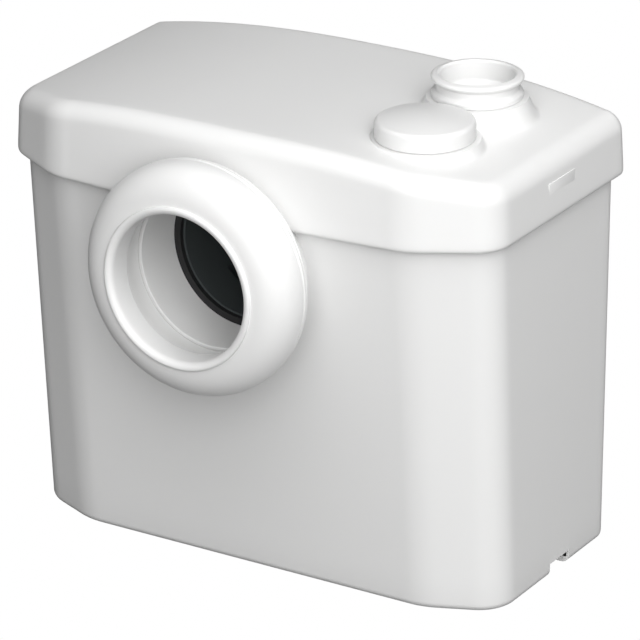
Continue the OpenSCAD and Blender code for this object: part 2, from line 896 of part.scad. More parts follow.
module motor_ears(t) {
    for (a = ear_angles) rotate(a) translate([motor_r - motor_wall / 2, -ear_r, 0])
        cube([motor_wall / 2 + ear_share * ear_r, 2 * ear_r, t]);
}

module ear_holes(t) {
    for (a = ear_angles) rotate(a) translate([ear_hole_r, 0, -cut])
        cylinder(r = screw_r + fit / 2, h = t + 2 * cut);
}

module motor_casing() {
    inner = motor_r - motor_wall;
    color(dark_plastic)
    on_shaft(motor_x) difference() {
        union() {
            cylinder(r = motor_r, h = motor_l);
            translate([0, 0, motor_l - ear_t]) motor_ears(ear_t);
        }
        translate([0, 0, motor_front_t]) difference() {
            cylinder(r = inner, h = motor_l);
            translate([0, 0, -cut]) cylinder(r = bearing_r + boss_t, h = bearing_w + fit + cut);
        }
        translate([0, 0, motor_front_t]) cylinder(r = bearing_r, h = motor_l);
        translate([0, 0, -cut]) cylinder(r = journal_r + shaft_clear, h = motor_l);
        translate([0, 0, motor_l - ear_t]) ear_holes(ear_t);
    }
}

module motor_end_bell() {
    color(dark_plastic)
    on_shaft(motor_x + motor_l + fit) difference() {
        union() {
            cylinder(r = motor_r, h = bell_t);
            motor_ears(bell_t);
            translate([0, 0, fit - bearing_w]) cylinder(r = bearing_r + boss_t, h = bearing_w);
            translate([0, 0, fit - boss_t])
                ring(motor_r - motor_wall - fit, motor_r - 2 * motor_wall, boss_t);
        }
        translate([0, 0, -bearing_w - cut]) cylinder(r = bearing_r, h = bearing_w + cut + boss_t);
        ear_holes(bell_t);
    }
}

module motor_screws() {
    color(steel)
    on_shaft(motor_x + motor_l + bell_t + 2 * fit)
        for (a = ear_angles) rotate(a) translate([ear_hole_r, 0, 0]) screw(screw_l);
}

slot_in_r = rotor_r + air_gap + tooth_neck;

module stator_core() {
    color(iron)
    on_shaft(core_x) linear_extrude(core_l) difference() {
        circle(r = core_back_r);
        circle(r = rotor_r + air_gap);
        for (i = [0 : stator_slots - 1]) rotate(360 * i / stator_slots) {
            translate([rotor_r, -slot_mouth / 2]) square([2 * tooth_neck, slot_mouth]);
            translate([slot_in_r, -slot_body / 2]) square([slot_depth, slot_body]);
        }
    }
}

// Bars through the slots, joined by a rounded bundle at each end
module stator_windings() {
    bar = slot_body - 2 * wire_gap;
    mid_r = slot_in_r + slot_depth / 2;
    color(copper)
    on_shaft(core_x) {
        for (i = [0 : stator_slots - 1]) rotate(360 * i / stator_slots)
            translate([slot_in_r + wire_gap, -bar / 2, -wire_gap - bar_over])
            cube([slot_depth - 2 * wire_gap, bar, core_l + 2 * (wire_gap + bar_over)]);
        for (z = [-wire_gap - turn_l, core_l + wire_gap]) translate([0, 0, z])
            rotate_extrude() translate([mid_r, turn_l / 2]) intersection() {
                circle(r = turn_l * bundle_share);
                square([slot_depth + 2 * wire_gap, turn_l], center = true);
            }
    }
}

module rotor_core() {
    color(iron)
    on_shaft(core_x - rotor_over) {
        ring(rotor_r, journal_r + fit / 4, core_l + 2 * rotor_over);
        translate([0, 0, -end_ring_t]) ring(rotor_r - tooth_neck, rotor_r - 2 * tooth_neck,
            core_l + 2 * (rotor_over + end_ring_t));
    }
}

module motor_shaft() {
    tail = motor_x + motor_l + boss_t - fit;
    head = motor_x + motor_front_t;
    nose = blade_x - blade_t - nut_l - shaft_nose;
    color(steel) {
        on_shaft(nose) cylinder(r = shaft_r, h = head - nose + fit);
        on_shaft(head) cylinder(r = journal_r, h = tail - head - gap);
        on_shaft(head + bearing_w + gap)
            cylinder(r = journal_r + least_r,
                h = core_x - head - bearing_w - 2 * gap - rotor_over);
    }
}

front_bearing_x = motor_x + motor_front_t + fit;
rear_bearing_x = motor_x + motor_l + boss_t - bearing_w - fit;

module both_bearings() {
    for (x = [front_bearing_x, rear_bearing_x]) on_shaft(x) children();
}

module groove() {
    translate([0, 0, bearing_w / 2]) rotate_extrude() translate([ball_pitch, 0])
        circle(r = ball_r + running);
}

module bearing_outer_rings() {
    color(steel)
    both_bearings() difference() {
        ring(bearing_r - fit / 2, bearing_r - ring_t, bearing_w - fit);
        groove();
    }
}

module bearing_inner_rings() {
    color(steel)
    both_bearings() difference() {
        ring(journal_r + ring_t, journal_r + fit / 4, bearing_w - fit);
        groove();
    }
}

module bearing_cages() {
    color("BurlyWood")
    both_bearings() translate([0, 0, (bearing_w - cage_w) / 2]) difference() {
        ring(ball_pitch + cage_t / 2, ball_pitch - cage_t / 2, cage_w);
        around(ball_count, ball_pitch - 2 * cage_t) translate([0, 0, cage_w / 2])
            rotate([0, 90, 0]) cylinder(r = ball_r + fit, h = 4 * cage_t);
    }
}

module bearing_balls() {
    color(steel)
    both_bearings() around(ball_count, ball_pitch) translate([0, 0, bearing_w / 2])
        sphere(r = ball_r);
}

module rubber_mounts() {
    color(black_rubber)
    for (s = saddles) cushion(s[0], s[1]);
}

module box_posts() {
    for (x = [box_x0 + box_screw_in, box_x0 + box_w - box_screw_in],
        y = [box_y0 + box_screw_in, box_y0 + box_d - box_screw_in])
        translate([x, y, 0]) children();
}

module control_box() {
    color(grey_plastic)
    difference() {
        union() {
            difference() {
                translate([box_x0, box_y0, box_z]) cube([box_w, box_d, box_h]);
                translate([box_x0 + box_wall, box_y0 + box_wall, box_z + box_wall])
                    cube([box_w - 2 * box_wall, box_d - 2 * box_wall, box_h]);
            }
            box_posts() translate([0, 0, box_z]) cylinder(r = box_post_r, h = box_h);
            for (s = [0, 1]) translate([capacitor_x - box_post_r,
                box_y0 + box_d * (1 + 3 * s) / 6, box_z + box_wall - fit])
                capacitor_rest();
            for (s = [-1, 1]) translate([switch_x - lever_reach,
                switch_y + s * (switch_d / 2 + fit + box_wall / 2) - box_wall / 2, box_z])
                cube([switch_l / 2, box_wall, body_z - box_z + switch_h]);
        }
        at_switch(box_z - cut) cylinder(r = plunger_r + box_wall, h = box_wall + 2 * cut);
        box_posts() translate([0, 0, box_z + box_h - screw_l])
            cylinder(r = screw_r + fit, h = screw_l + cut);
        gland_place(box_y0 + box_d + cut)
            cylinder(r = gland_thread_r + fit, h = box_wall + 2 * cut);
    }
}

capacitor_z = box_z + 2 * box_wall + capacitor_r;

module capacitor_rest() {
    difference() {
        cube([2 * box_post_r, box_wall, capacitor_r / 2]);
        translate([box_post_r, -cut, capacitor_z - box_z - box_wall + fit]) rotate([-90, 0, 0])
            cylinder(r = capacitor_r + fit, h = box_wall + 2 * cut);
    }
}

module control_box_cover() {
    color(grey_plastic)
    difference() {
        union() {
            translate([box_x0, box_y0, box_z + box_h + fit]) cube([box_w, box_d, box_lid_t]);
            translate([box_x0 + box_w / 4, box_y0 + box_wall + fit, box_z + box_h - box_lid_t])
                cube([box_w / 2, box_wall, box_lid_t + 2 * fit]);
        }
        box_posts() translate([0, 0, box_z + box_h]) cylinder(r = screw_r + fit, h = 3 * box_lid_t);
    }
}

module control_box_screws() {
    color(steel)
    box_posts() translate([0, 0, box_z + box_h + box_lid_t + 2 * fit]) screw(screw_l);
}

module capacitor() {
    color("LightGray")
    translate([capacitor_x, box_y0 + box_wall + box_wall, capacitor_z]) rotate([-90, 0, 0]) {
        cylinder(r = capacitor_r, h = capacitor_l);
        translate([0, 0, capacitor_l - fit]) cylinder(r = capacitor_r / 3, h = box_wall);
        for (s = [-1, 1]) translate([s * capacitor_r / 2 - box_wall / 2, 0, capacitor_l - fit])
            cube([box_wall, least_r, 2 * box_wall]);
    }
}

module terminal_block() {
    x = capacitor_x - capacitor_r - block_w - box_wall;
    y = box_y0 + box_d - box_wall - block_d - fit;
    color("Tan")
    translate([x, y, box_z + box_wall + fit]) difference() {
        cube([block_w, block_d, block_h]);
        for (i = [0 : 2]) translate([block_w * (2 * i + 1) / 6, block_d / 2, block_h / 2])
            cylinder(r = screw_r, h = block_h);
        for (i = [0 : 2]) translate([block_w * (2 * i + 1) / 6, -cut, block_h / 4])
            rotate([-90, 0, 0]) cylinder(r = screw_r / 2, h = block_d + 2 * cut);
    }
}

module gland_place(y) {
    translate([gland_x, y, gland_z]) rotate([90, 0, 0]) children();
}

wall_y = tank_plan(gland_z)[1];

module cable_gland() {
    color(black_rubber)
    gland_place(wall_y + gland_t + gap) difference() {
        union() {
            cylinder(r = gland_r, h = gland_t);
            cylinder(r = gland_thread_r, h = wall_y - box_y0 - box_d + gland_t + box_wall);
            translate([0, 0, gland_t + tank_wall + 2 * gap])
                cylinder(r = gland_r, h = gland_t, $fn = 6);
        }
        translate([0, 0, -cut]) cylinder(r = gland_thread_r / 2, h = half_d);
    }
}

disc_z = box_z - cover_t - fit;
bell_top = disc_z - disc_t - fit;

module pressure_tube() {
    z0 = tank_floor + tube_lift;
    color(grey_plastic)
    at_switch(0) rotate_extrude() polygon([[tube_r, z0], [tube_r, bell_top - bell_h],
        [bell_r, bell_top - bell_h / 4], [bell_r, bell_top], [bell_r - tube_wall, bell_top],
        [bell_r - tube_wall, bell_top - bell_h / 4],
        [tube_r - tube_wall, bell_top - bell_h], [tube_r - tube_wall, z0]]);
}

// Thin disc with one wave, stiff in the middle
module diaphragm() {
    color(black_rubber)
    at_switch(bell_top + fit / 2) rotate_extrude() polygon(concat(
        [[0, 0], [plunger_foot_r + least_r, 0]],
        [for (k = [0 : 8]) [plunger_foot_r + 2 * least_r + k * least_r,
            -least_r * sin(180 * k / 8)]],
        [[bell_r, 0], [bell_r, disc_t - fit]],
        [for (k = [8 : -1 : 0]) [plunger_foot_r + 2 * least_r + k * least_r,
            disc_t - fit - least_r * sin(180 * k / 8)]],
        [[plunger_foot_r + least_r, disc_t - fit], [0, disc_t - fit]]));
}

module diaphragm_cover() {
    color(grey_plastic)
    at_switch(disc_z + fit / 2) difference() {
        cylinder(r = bell_r, h = cover_t - fit / 2);
        translate([0, 0, -cut])
            cylinder(r = plunger_foot_r + 2 * least_r, h = cover_t - cover_roof + cut);
        translate([0, 0, -cut]) cylinder(r = plunger_r + gap, h = cover_t + 2 * cut);
    }
}

module diaphragm_plunger() {
    color("OrangeRed")
    at_switch(disc_z + gap) {
        cylinder(r = plunger_foot_r, h = plunger_foot_t);
        cylinder(r = plunger_r, h = plunger_tip_z - plunger_r - disc_z - gap);
        translate([0, 0, plunger_tip_z - plunger_r - disc_z - gap]) sphere(r = plunger_r);
    }
}

lever_z = plunger_tip_z + gap;
body_z = lever_z + body_lift;

module microswitch() {
    color("DarkRed")
    at_switch(body_z) difference() {
        union() {
            translate([-lever_reach - 2 * lever_reach, -switch_d / 2, 0])
                cube([switch_l + lever_reach, switch_d, switch_h]);
            for (s = [-1, 1]) translate([lever_arm - 2 * least_r,
                s * (lever_w / 2 + lug_gap + lug_t / 2) - lug_t / 2, -body_lift])
                cube([4 * least_r, lug_t, body_lift + fit]);
        }
        translate([lever_arm - button_arm, 0, -cut])
            cylinder(r = button_r + button_fit, h = 4 * least_r + cut);
        translate([lever_arm, switch_d, lever_t / 2 - body_lift]) rotate([90, 0, 0])
            cylinder(r = lever_pin_r + running, h = 2 * switch_d);
    }
}

module microswitch_lever() {
    color(steel)
    at_switch(lever_z) {
        translate([-lever_reach, -lever_w / 2, 0]) cube([lever_arm + lever_reach, lever_w, lever_t]);
        translate([lever_arm, lever_w / 2 + lug_gap + lug_t, lever_t / 2]) rotate([90, 0, 0])
            cylinder(r = lever_pin_r, h = lever_w + 2 * (lug_gap + lug_t));
    }
}

module microswitch_button() {
    color("WhiteSmoke")
    translate([switch_x + lever_arm - button_arm, switch_y, lever_z + lever_t + gap])
        cylinder(r = button_r, h = body_lift - lever_t - gap + least_r);
}

// Lower half of the non-return valve: seat, chamber and the lugs of the pin
module valve_body() {
    color(dark_plastic)
    difference() {
        union() {
            at_valve(valve_z + fit) cylinder(r = valve_r, h = valve_flange_t);
            at_valve(valve_seat_z - valve_wall) cylinder(r = valve_r + valve_wall, h = valve_body_h);
            at_valve(valve_top - valve_flange_t) cylinder(r = valve_flange_r, h = valve_flange_t);
        }
        at_valve(valve_z) cylinder(r = duct_r - duct_wall, h = outlet_rise);
        difference() {
            at_valve(valve_seat_z) cylinder(r = valve_r, h = 2 * valve_body_h);
            for (s = [-1, 1]) flap_lug(s);
        }
        flap_pin_hole(fit / 2);
        valve_screw_places() translate([0, 0, -valve_flange_t - 2 * cut])
            cylinder(r = screw_r + fit / 2, h = valve_flange_t + 4 * cut);
    }
}

pin_z = valve_seat_z + gap + flap_t + least_r;

module flap_lug(side) {
    translate([valve_x + side * (knuckle_w / 2 + gap + pin_r) - pin_r, pin_y - knuckle_r,
        valve_seat_z - cut])
        cube([2 * pin_r, 3 * knuckle_r, pin_z - valve_seat_z + knuckle_r + cut]);
}

module flap_pin_hole(clear) {
    translate([valve_x - pin_l / 2, pin_y, pin_z]) rotate([0, 90, 0])
        cylinder(r = pin_r + clear, h = pin_l);
}

module valve_screw_places() {
    at_valve(valve_top)
        around(4, valve_r + valve_wall + screw_head_r + gap, 45) children();
}

module valve_cover() {
    z0 = valve_top + fit;
    r = valve_r + valve_wall;
    color(dark_plastic)
    difference() {
        at_valve(z0) rotate_extrude() polygon([[pipe_r, valve_dome_h - 2 * fit],
            [pipe_r, valve_roof - outlet_wall / 2], [valve_r, valve_roof / 2], [valve_r, 0],
            [valve_flange_r, 0], [valve_flange_r, valve_flange_t], [r, valve_flange_t],
            [r, valve_roof / 2], [pipe_r + outlet_wall, valve_roof],
            [pipe_r + outlet_wall, valve_dome_h - 2 * fit]]);
        valve_screw_places() cylinder(r = screw_r + fit / 2, h = valve_dome_h);
    }
}

module valve_screws() {
    color(steel)
    valve_screw_places() translate([0, 0, valve_flange_t + 2 * fit])
        screw(2 * valve_flange_t);
}

module valve_flap() {
    color(black_rubber)
    difference() {
        union() {
            difference() {
                at_valve(valve_seat_z + gap) cylinder(r = flap_r, h = flap_t);
                translate([valve_x - flap_r, outlet_y + flap_r - knuckle_r, valve_seat_z])
                    cube([2 * flap_r, knuckle_r, 2 * flap_t]);
            }
            translate([valve_x - knuckle_w / 2, outlet_y, valve_seat_z + gap])
                cube([knuckle_w, pin_y - outlet_y, flap_t]);
            translate([valve_x - knuckle_w / 2, pin_y, pin_z]) rotate([0, 90, 0])
                cylinder(r = knuckle_r, h = knuckle_w);
        }
        flap_pin_hole(running);
    }
}

module flap_pin() {
    color(steel) flap_pin_hole(0);
}

// Rubber S-bend from the valve to the riser
elbow_z = valve_top + valve_dome_h;
bend_r = (port_x - valve_x) / 2;

module bend(r) {
    translate([valve_x + bend_r, outlet_y, bend_z]) mirror([1, 0, 0]) rotate([90, 0, 0])
        rotate_extrude(angle = 90) translate([bend_r, 0]) circle(r = r);
    translate([valve_x + bend_r, outlet_y, bend_z + 2 * bend_r]) rotate([-90, 0, 0])
        rotate_extrude(angle = 90) translate([bend_r, 0]) circle(r = r);
}

module discharge_elbow() {
    outer = pipe_r + hose_wall;
    color(black_rubber) difference() {
        union() {
            at_valve(elbow_z - hose_grip)
                cylinder(r = outer + outlet_wall, h = hose_grip + hose_wall);
            bend(outer);
            at_outlet(riser_z - hose_wall) cylinder(r = outer + hose_wall, h = hose_grip);
        }
        at_valve(elbow_z - hose_grip - cut)
            cylinder(r = pipe_r + outlet_wall + fit, h = hose_grip + cut);
        at_valve(elbow_z - cut) cylinder(r = pipe_r, h = hose_wall + cut);
        bend(pipe_r);
        at_outlet(riser_z - hose_wall) cylinder(r = pipe_r, h = hose_grip);
        at_outlet(riser_z) cylinder(r = riser_r + fit, h = hose_grip);
    }
}

bend_z = elbow_z + hose_wall;
riser_z = bend_z + 2 * bend_r + hose_wall;

module band(r) {
    ring(r + band_t, r, band_w);
    translate([r, -band_w / 2, 0]) cube([band_w / 2, band_w, band_w]);
}

module elbow_clamps() {
    grip = pipe_r + hose_wall + outlet_wall + fit;
    color(steel) {
        at_valve(elbow_z - hose_grip + band_gap) rotate(-90) band(grip);
        at_outlet(riser_z - hose_wall + band_gap) rotate(90) band(pipe_r + 2 * hose_wall + fit);
    }
}

module riser_pipe() {
    top = outlet_seat_z - collar_floor;
    color(grey_plastic)
    at_outlet(riser_z + fit) ring(riser_r, pipe_r, top - riser_z);
}

// Open ring with a rim, a neck and a foot, and a spigot that goes into the lid
module outlet_collar() {
    spigot = port_tube_r - fit;
    inner = riser_r + gap;
    color(white_plastic)
    at_outlet(outlet_seat_z + fit) difference() {
        rotate_extrude() polygon([[inner, -spigot_drop], [spigot, -spigot_drop], [spigot, 0],
            [foot_r - least_r / 2, 0], [foot_r, least_r / 2], [foot_r, foot_h - least_r],
            [foot_r - least_r, foot_h], [collar_neck_r, foot_h + least_r],
            [collar_neck_r, collar_h - rim_h - least_r],
            [collar_rim_r - least_r, collar_h - rim_h],
            [collar_rim_r, collar_h - rim_h + least_r], [collar_rim_r, collar_h - least_r],
            [collar_rim_r - least_r, collar_h - least_r / 4],
            [collar_bore_r + least_r, collar_h + least_r / 2],
            [collar_bore_r, collar_h - least_r / 2], [collar_bore_r, 2 * least_r],
            [spigot - 2 * least_r, 0], [inner, -collar_floor / 2]]);
        translate([0, 0, -spigot_drop / 2])
            ring(inner + ring_seal_t - least_r, riser_r / 2, ring_seal_t);
    }
}

module outlet_seal() {
    color(black_rubber)
    at_outlet(outlet_seat_z + 2 * fit - spigot_drop / 2)
        ring(riser_r + gap + ring_seal_t - least_r - fit, riser_r + gap, ring_seal_t - 2 * fit);
}

module vent_filter() {
    color("DimGray")
    at_vent(cap_seat_z + fit) cylinder(r = vent_neck_r - vent_neck_wall - fit, h = filter_h);
}

module vent_cap() {
    top = cap_h + cap_dome;
    color(white_plastic)
    at_vent(cap_seat_z + fit) difference() {
        rotate_extrude() polygon(concat([[0, 0], [cap_r - least_r, 0], [cap_r, least_r]],
            [for (k = [0 : 4]) [cap_r - cap_round * (1 - cos(90 * k / 4)),
                cap_h - cap_round * (1 - sin(90 * k / 4))]],
            [for (k = [5 : -1 : 0]) let (s = k / 6)
                [(cap_r - cap_round) * s, top - cap_dome * s * s]]));
        translate([0, 0, -cut]) cylinder(r = vent_neck_r + gap, h = cap_h - cap_wall + cut);
        translate([0, 0, -cut]) ring(cap_r - cap_wall, vent_neck_r + gap + cap_ring_t,
            cap_h - cap_wall + cut);
    }
}

tank();
lid();
lid_gasket();
inlet_sleeve();
inlet_seal_ring();
basket_throat();
grinder_basket();
basket_end_plate();
basket_screws();
cutter_blade();
blade_nut();
suction_cover();
pump_casing();
pump_screws();
impeller();
seal_seat();
seal_rotating_face();
motor_casing();
motor_end_bell();
motor_screws();
stator_core();
stator_windings();
rotor_core();
motor_shaft();
bearing_outer_rings();
bearing_inner_rings();
bearing_cages();
bearing_balls();
rubber_mounts();
control_box();
control_box_cover();
control_box_screws();
capacitor();
terminal_block();
cable_gland();
pressure_tube();
diaphragm();
diaphragm_cover();
diaphragm_plunger();
microswitch();
microswitch_lever();
microswitch_button();
valve_body();
valve_cover();
valve_screws();
valve_flap();
flap_pin();
discharge_elbow();
elbow_clamps();
riser_pipe();
outlet_collar();
outlet_seal();
vent_filter();
vent_cap();
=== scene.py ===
import json
import math

import bmesh
import bpy
import numpy as np
from mathutils import Matrix, Vector
from mathutils.geometry import delaunay_2d_cdt

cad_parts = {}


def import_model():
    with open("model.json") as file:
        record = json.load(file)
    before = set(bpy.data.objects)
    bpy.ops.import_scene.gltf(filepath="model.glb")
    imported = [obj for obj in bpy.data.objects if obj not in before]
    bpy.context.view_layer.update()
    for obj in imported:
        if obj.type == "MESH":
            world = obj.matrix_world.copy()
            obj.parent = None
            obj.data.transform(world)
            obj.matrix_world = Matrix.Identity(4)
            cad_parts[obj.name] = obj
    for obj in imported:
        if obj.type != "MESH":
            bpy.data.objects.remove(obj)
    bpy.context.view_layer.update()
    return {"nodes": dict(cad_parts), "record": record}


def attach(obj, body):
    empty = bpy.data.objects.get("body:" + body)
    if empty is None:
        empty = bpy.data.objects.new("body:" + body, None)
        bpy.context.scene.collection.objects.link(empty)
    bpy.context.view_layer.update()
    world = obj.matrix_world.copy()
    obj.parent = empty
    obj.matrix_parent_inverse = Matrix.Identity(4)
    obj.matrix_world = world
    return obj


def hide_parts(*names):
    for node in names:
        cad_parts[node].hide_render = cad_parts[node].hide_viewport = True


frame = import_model()

MM = 0.001

# Case, in millimetres and in the CAD's own frame
HALF_W, HALF_D = 165.0, 91.0
TANK_H, CROWN_Z, SKIRT_Z = 250.0, 282.0, 231.0
CROWN_DROP, CROWN_POWER = 15.0, 2.5
OVERHANG, EDGE_R, SKIRT_DRAFT, LID_WALL = 5.0, 11.0, 1.2, 3.5
TANK_WALL, TANK_FLOOR, BASE_ROUND, RIM_BREAK, RIM_RUN = 3.5, 4.0, 5.0, 0.4, 6.0
FLOOR_ROUND = [(0.0, 2.5), (0.7, 0.8), (2.5, 0.0)]
# Softer at the front corners than the solids, as the photograph shows them
CORNER_RADII = [11.0, 25.0, 45.0, 45.0, 25.0, 11.0]
LEDGE_Z, LEDGE_T, LEDGE_OUT, LEDGE_IN = 252.0, 2.5, 3.7, 9.7

# Plans: half width, back, front, chamfer depth, half width of the front, bow of the front
LID_PLAN = np.array([HALF_W, HALF_D, -HALF_D, 27.0, 118.0, 4.6])
RIM_PLAN = LID_PLAN - np.array([OVERHANG, OVERHANG, -OVERHANG, 2.0, 1.3, 0.0])
BASE_PLAN = RIM_PLAN - np.array([0.0, 4.0, -21.0, 6.5, 0.0, 4.6])

# Inlet, with places given as distances in front of the middle of the case
INLET_Z, ARCH_R, BOSS_R, SPIGOT_R, SOCKET_R, THROAT_R = 202.0, 55.2, 53.2, 50.0, 47.6, 44.8
SHOULDER_F, SHOULDER_T, BOSS_F, SPIGOT_L = 66.0, 4.0, 94.4, 9.0
LIP_F, LIP_R, LIP_T, LIP_L, LIP_ROUND = 141.0, 44.0, 4.9, 17.0, 2.4
BULB_F, BULB_R, SLEEVE_WALL, NECK_T = 119.0, 70.0, 4.5, 3.2
GROOVES, GROOVE_DEPTH, GROOVE_START, GROOVE_END = 4, 0.9, 0.5, 0.97

# Ports on the lid
PORT_X, OUTLET_Y, VENT_Y = 100.0, 25.0, -34.0
OUTLET_SEAT, VENT_SEAT = 285.6, 279.0
OUTLET_SEAT_R, VENT_SEAT_R, RECESS_R = 29.6, 31.9, 30.5
OUTLET_HOLE_R, VENT_HOLE_R, GUIDE_T, GUIDE_DROP = 18.0, 17.0, 3.0, 22.0
SEAT_SLOPE, SEAT_FILLET = 2.4, 4.0
FIT = 0.1

# Inside of the tank: saddles as middle along the shaft and radius carried
SHAFT_Z, CUSHION_T, CRADLE_T, CRADLE_RISE = 112.0, 3.5, 6.0, 22.0
SADDLES = [(-34.0, 52.0), (56.1, 46.0), (90.2, 50.0), (128.2, 50.0)]
NOTCH_X, NOTCH_Y, NOTCH_W, NOTCH_H, NOTCH_WALL = 148.0, 22.5, 23.0, 8.6, 4.0
GLAND_X, GLAND_Z, GLAND_R = -84.0, 219.0, 7.6
SHELF = ((-149.0, 48.0, 204.4), (-59.0, 84.0, 209.4)), ((-158.2, -26.0, 204.4), (-145.0, 60.0, 209.4))
SIDE_PAD = (162.7, -5.0, 242.0), (164.35, 25.0, 253.5)
BOX_BEVEL, PAD_BEVEL = 0.4, 0.35

# Reach of the cutters past what they cut, and the heights of those of the port holes
CUT_PAST, SOCKET_CUT, GLAND_CUT, ARCH_CUT, HOLLOW_CUT = 5.0, 16.0, 21.0, 6.0, 1.0
HOLE_CUT = 255.0, 300.0

# Lid: bead of the skirt as (drawn in, height), and small sizes of the seats and the guide tube
BEAD = [(2.2, 0.0), (1.5, 0.0), (0.9, 0.25), (0.4, 0.8), (0.05, 1.8), (0.0, 3.0), (0.03, 4.5),
        (0.1, 6.0), (0.2, 8.0)]
SEAT_EDGE, RECESS_RUN, GUIDE_GAP, GUIDE_TOP, BAR_W = 0.6, 1.1, 0.02, 5.0, 3.0
NECK_IN, NECK_OUT, NECK_H = 20.6, 23.0, 7.6

# Points over the lid's top: end of the grids, clear of the ports, and circles round each port
GRID_BACK, GRID_CLEAR = 81.0, 42.0
OUTLET_CIRCLES = [24, 28, 28.6, 29.0, 29.3]
VENT_CIRCLES = [24, 28, RECESS_R, 30.7, 30.9, 31.1, 31.35, 31.6]
SEAT_STEPS = [0, 0.3, 0.7, 1.1, 1.5, 2, 2.5, 3.1, 3.8, 4.6, 5.6, 7, 9]

# Handles of the sleeve's curves, and points along its rear
REAR_RISE, REAR_RUN, BULB_BACK, BULB_FRONT, LIP_FLARE = 9.0, 11.0, 16.0, 13.0, 15.0
REAR_STEPS = 144

# Cap and collar, with profiles as (radius, height)
CAP_R, CAP_SIDE, CAP_ROUND, CAP_TOP_R, CAP_TOP, CAP_RISE = 28.9, 8.0, 3.0, 25.9, 13.6, 2.6
CAP_FOOT = [(27.9, 0.0), (28.6, 0.3), (28.9, 1.0)]
CAP_INSIDE = [(0.26, 8.6), (23.3, 8.6), (23.3, 0.0), (25.3, 0.0), (25.3, 8.6), (26.5, 8.6), (26.5, 0.0)]
COLLAR = [(12.8, -20), (17.9, -20), (17.9, 0), (26.1, 0), (26.6, 0.5), (26.6, 3.0), (25.6, 4.0),
          (24.0, 5.0), (24.0, 9.2), (25.9, 10.2), (26.9, 11.2), (26.9, 12.6), (25.9, 13.35),
          (22.8, 14.1), (21.8, 13.1), (21.8, 2.0), (15.9, 0.0), (12.8, -1.6), (12.8, -7),
          (14.8, -7), (14.8, -10), (12.8, -10)]

# Angles in radians past which an edge is sharp, and share of a side that a fillet may take
SHARP, SHARP_DOME, SHARP_BEVEL = 0.6, 0.75, 0.9
FILLET_SHARE = 0.48

# Camera fitted to edges in the photograph: degrees, metres and pixels
CAM_AZIMUTH, CAM_ELEVATION, CAM_ROLL, CAM_DISTANCE = 31.76, 22.61, -0.29, 2.732
CAM_AIM = 0.0059, 0, 0.1347
SENSOR_MM, IMAGE_PX, FOCAL_PX, CENTRE_X_PX, SHIFT_Y_PX = 36.0, 640, 4620, 315.9, 0.4

# Softboxes: name, direction, distance and size in metres, power in watts
SOFTBOXES = [("key", (0.75, -0.663, 0.80), 2.2, 3.0, 62), ("front", (0.45, -0.85, 0.35), 2.6, 2.0, 25),
             ("above", (0.1, -0.1, 1.0), 2.4, 2.5, 17)]
LIGHT_AIM = 0, 0, 0.15
FLOOR_REACH, FLOOR_Z, FLOOR_TONE = 6.0, -0.0005, (0.15, 0.15, 0.15, 1)
WORLD_TONE = 0.115, 0.115, 0.116, 1
BUMP_DISTANCE = 0.0001


def corner(a, v, b, r, n):
    """Points of a fillet at v between the sides to a and b."""
    u, w = (a - v) / np.linalg.norm(a - v), (b - v) / np.linalg.norm(b - v)
    half = math.acos(float(np.clip(u @ w, -1, 1))) / 2
    turn = math.pi - 2 * half
    mid = v + (u + w) / np.linalg.norm(u + w) * r / math.sin(half)
    p, q = v + u * r / math.tan(half) - mid, v + w * r / math.tan(half) - mid
    k = np.linspace(0, 1, n + 1)[:, None]
    return mid + (np.sin(turn * (1 - k)) * p + np.sin(turn * k) * q) / math.sin(turn)


def straight(a, b, n, bow=0.0):
    """Inner points from a to b, pushed towards -Y by a bow."""
    s = np.linspace(0, 1, n + 2)[1:-1, None]
    return a + (b - a) * s - np.array([0, 1]) * 4 * bow * s * (1 - s)


def plan_corners(plan, d):
    """Six corners of a plan drawn in by d, from the back left round the front."""
    w, back, front, cd, half, _ = plan
    c = np.array([[-w, back], [-w, front + cd], [-half, front],
                  [half, front], [w, front + cd], [w, back]], float)
    out = []
    for i in range(6):
        m = (c[i] - c[i - 1]) / np.linalg.norm(c[i] - c[i - 1])
        n = (c[(i + 1) % 6] - c[i]) / np.linalg.norm(c[(i + 1) % 6] - c[i])
        m, n = np.array([-m[1], m[0]]), np.array([-n[1], n[0]])
        out.append(c[i] + d * (m + n) / (1 + m @ n))
    return out


def outline(plan, d, arc=10, counts=(24, 8, 79, 8, 24, 39)):
    """Closed outline of the plan drawn in by d."""
    c = plan_corners(plan, d)
    arcs = [corner(c[i - 1], c[i], c[(i + 1) % 6], max(CORNER_RADII[i] - d, 1.0), arc) for i in range(6)]
    parts = []
    for i in range(6):
        parts.append(arcs[i])
        parts.append(straight(arcs[i][-1], arcs[(i + 1) % 6][0], counts[i], plan[5] if i == 2 else 0.0))
    return np.vstack(parts)


def tank_plan(z):
    return BASE_PLAN + (RIM_PLAN - BASE_PLAN) * z / TANK_H


def level(plan, d, z):
    """Ring of the plan drawn in by d at a height or heights z."""
    p = outline(plan, d)
    return np.column_stack([p, np.broadcast_to(z, len(p))])


def crown(x):
    """Height of the lid's top, which falls towards both ends."""
    return CROWN_Z - CROWN_DROP * (np.abs(x) / HALF_W) ** CROWN_POWER


def crown_level(d, drop):
    p = outline(LID_PLAN, d)
    return np.column_stack([p, crown(p[:, 0]) - drop])


def smooth_max(a, b, k):
    h = np.clip(0.5 + 0.5 * (a - b) / k, 0, 1)
    return b + (a - b) * h + k * h * (1 - h)


def ease(t):
    t = np.clip(t, 0, 1)
    return t * t * (3 - 2 * t)


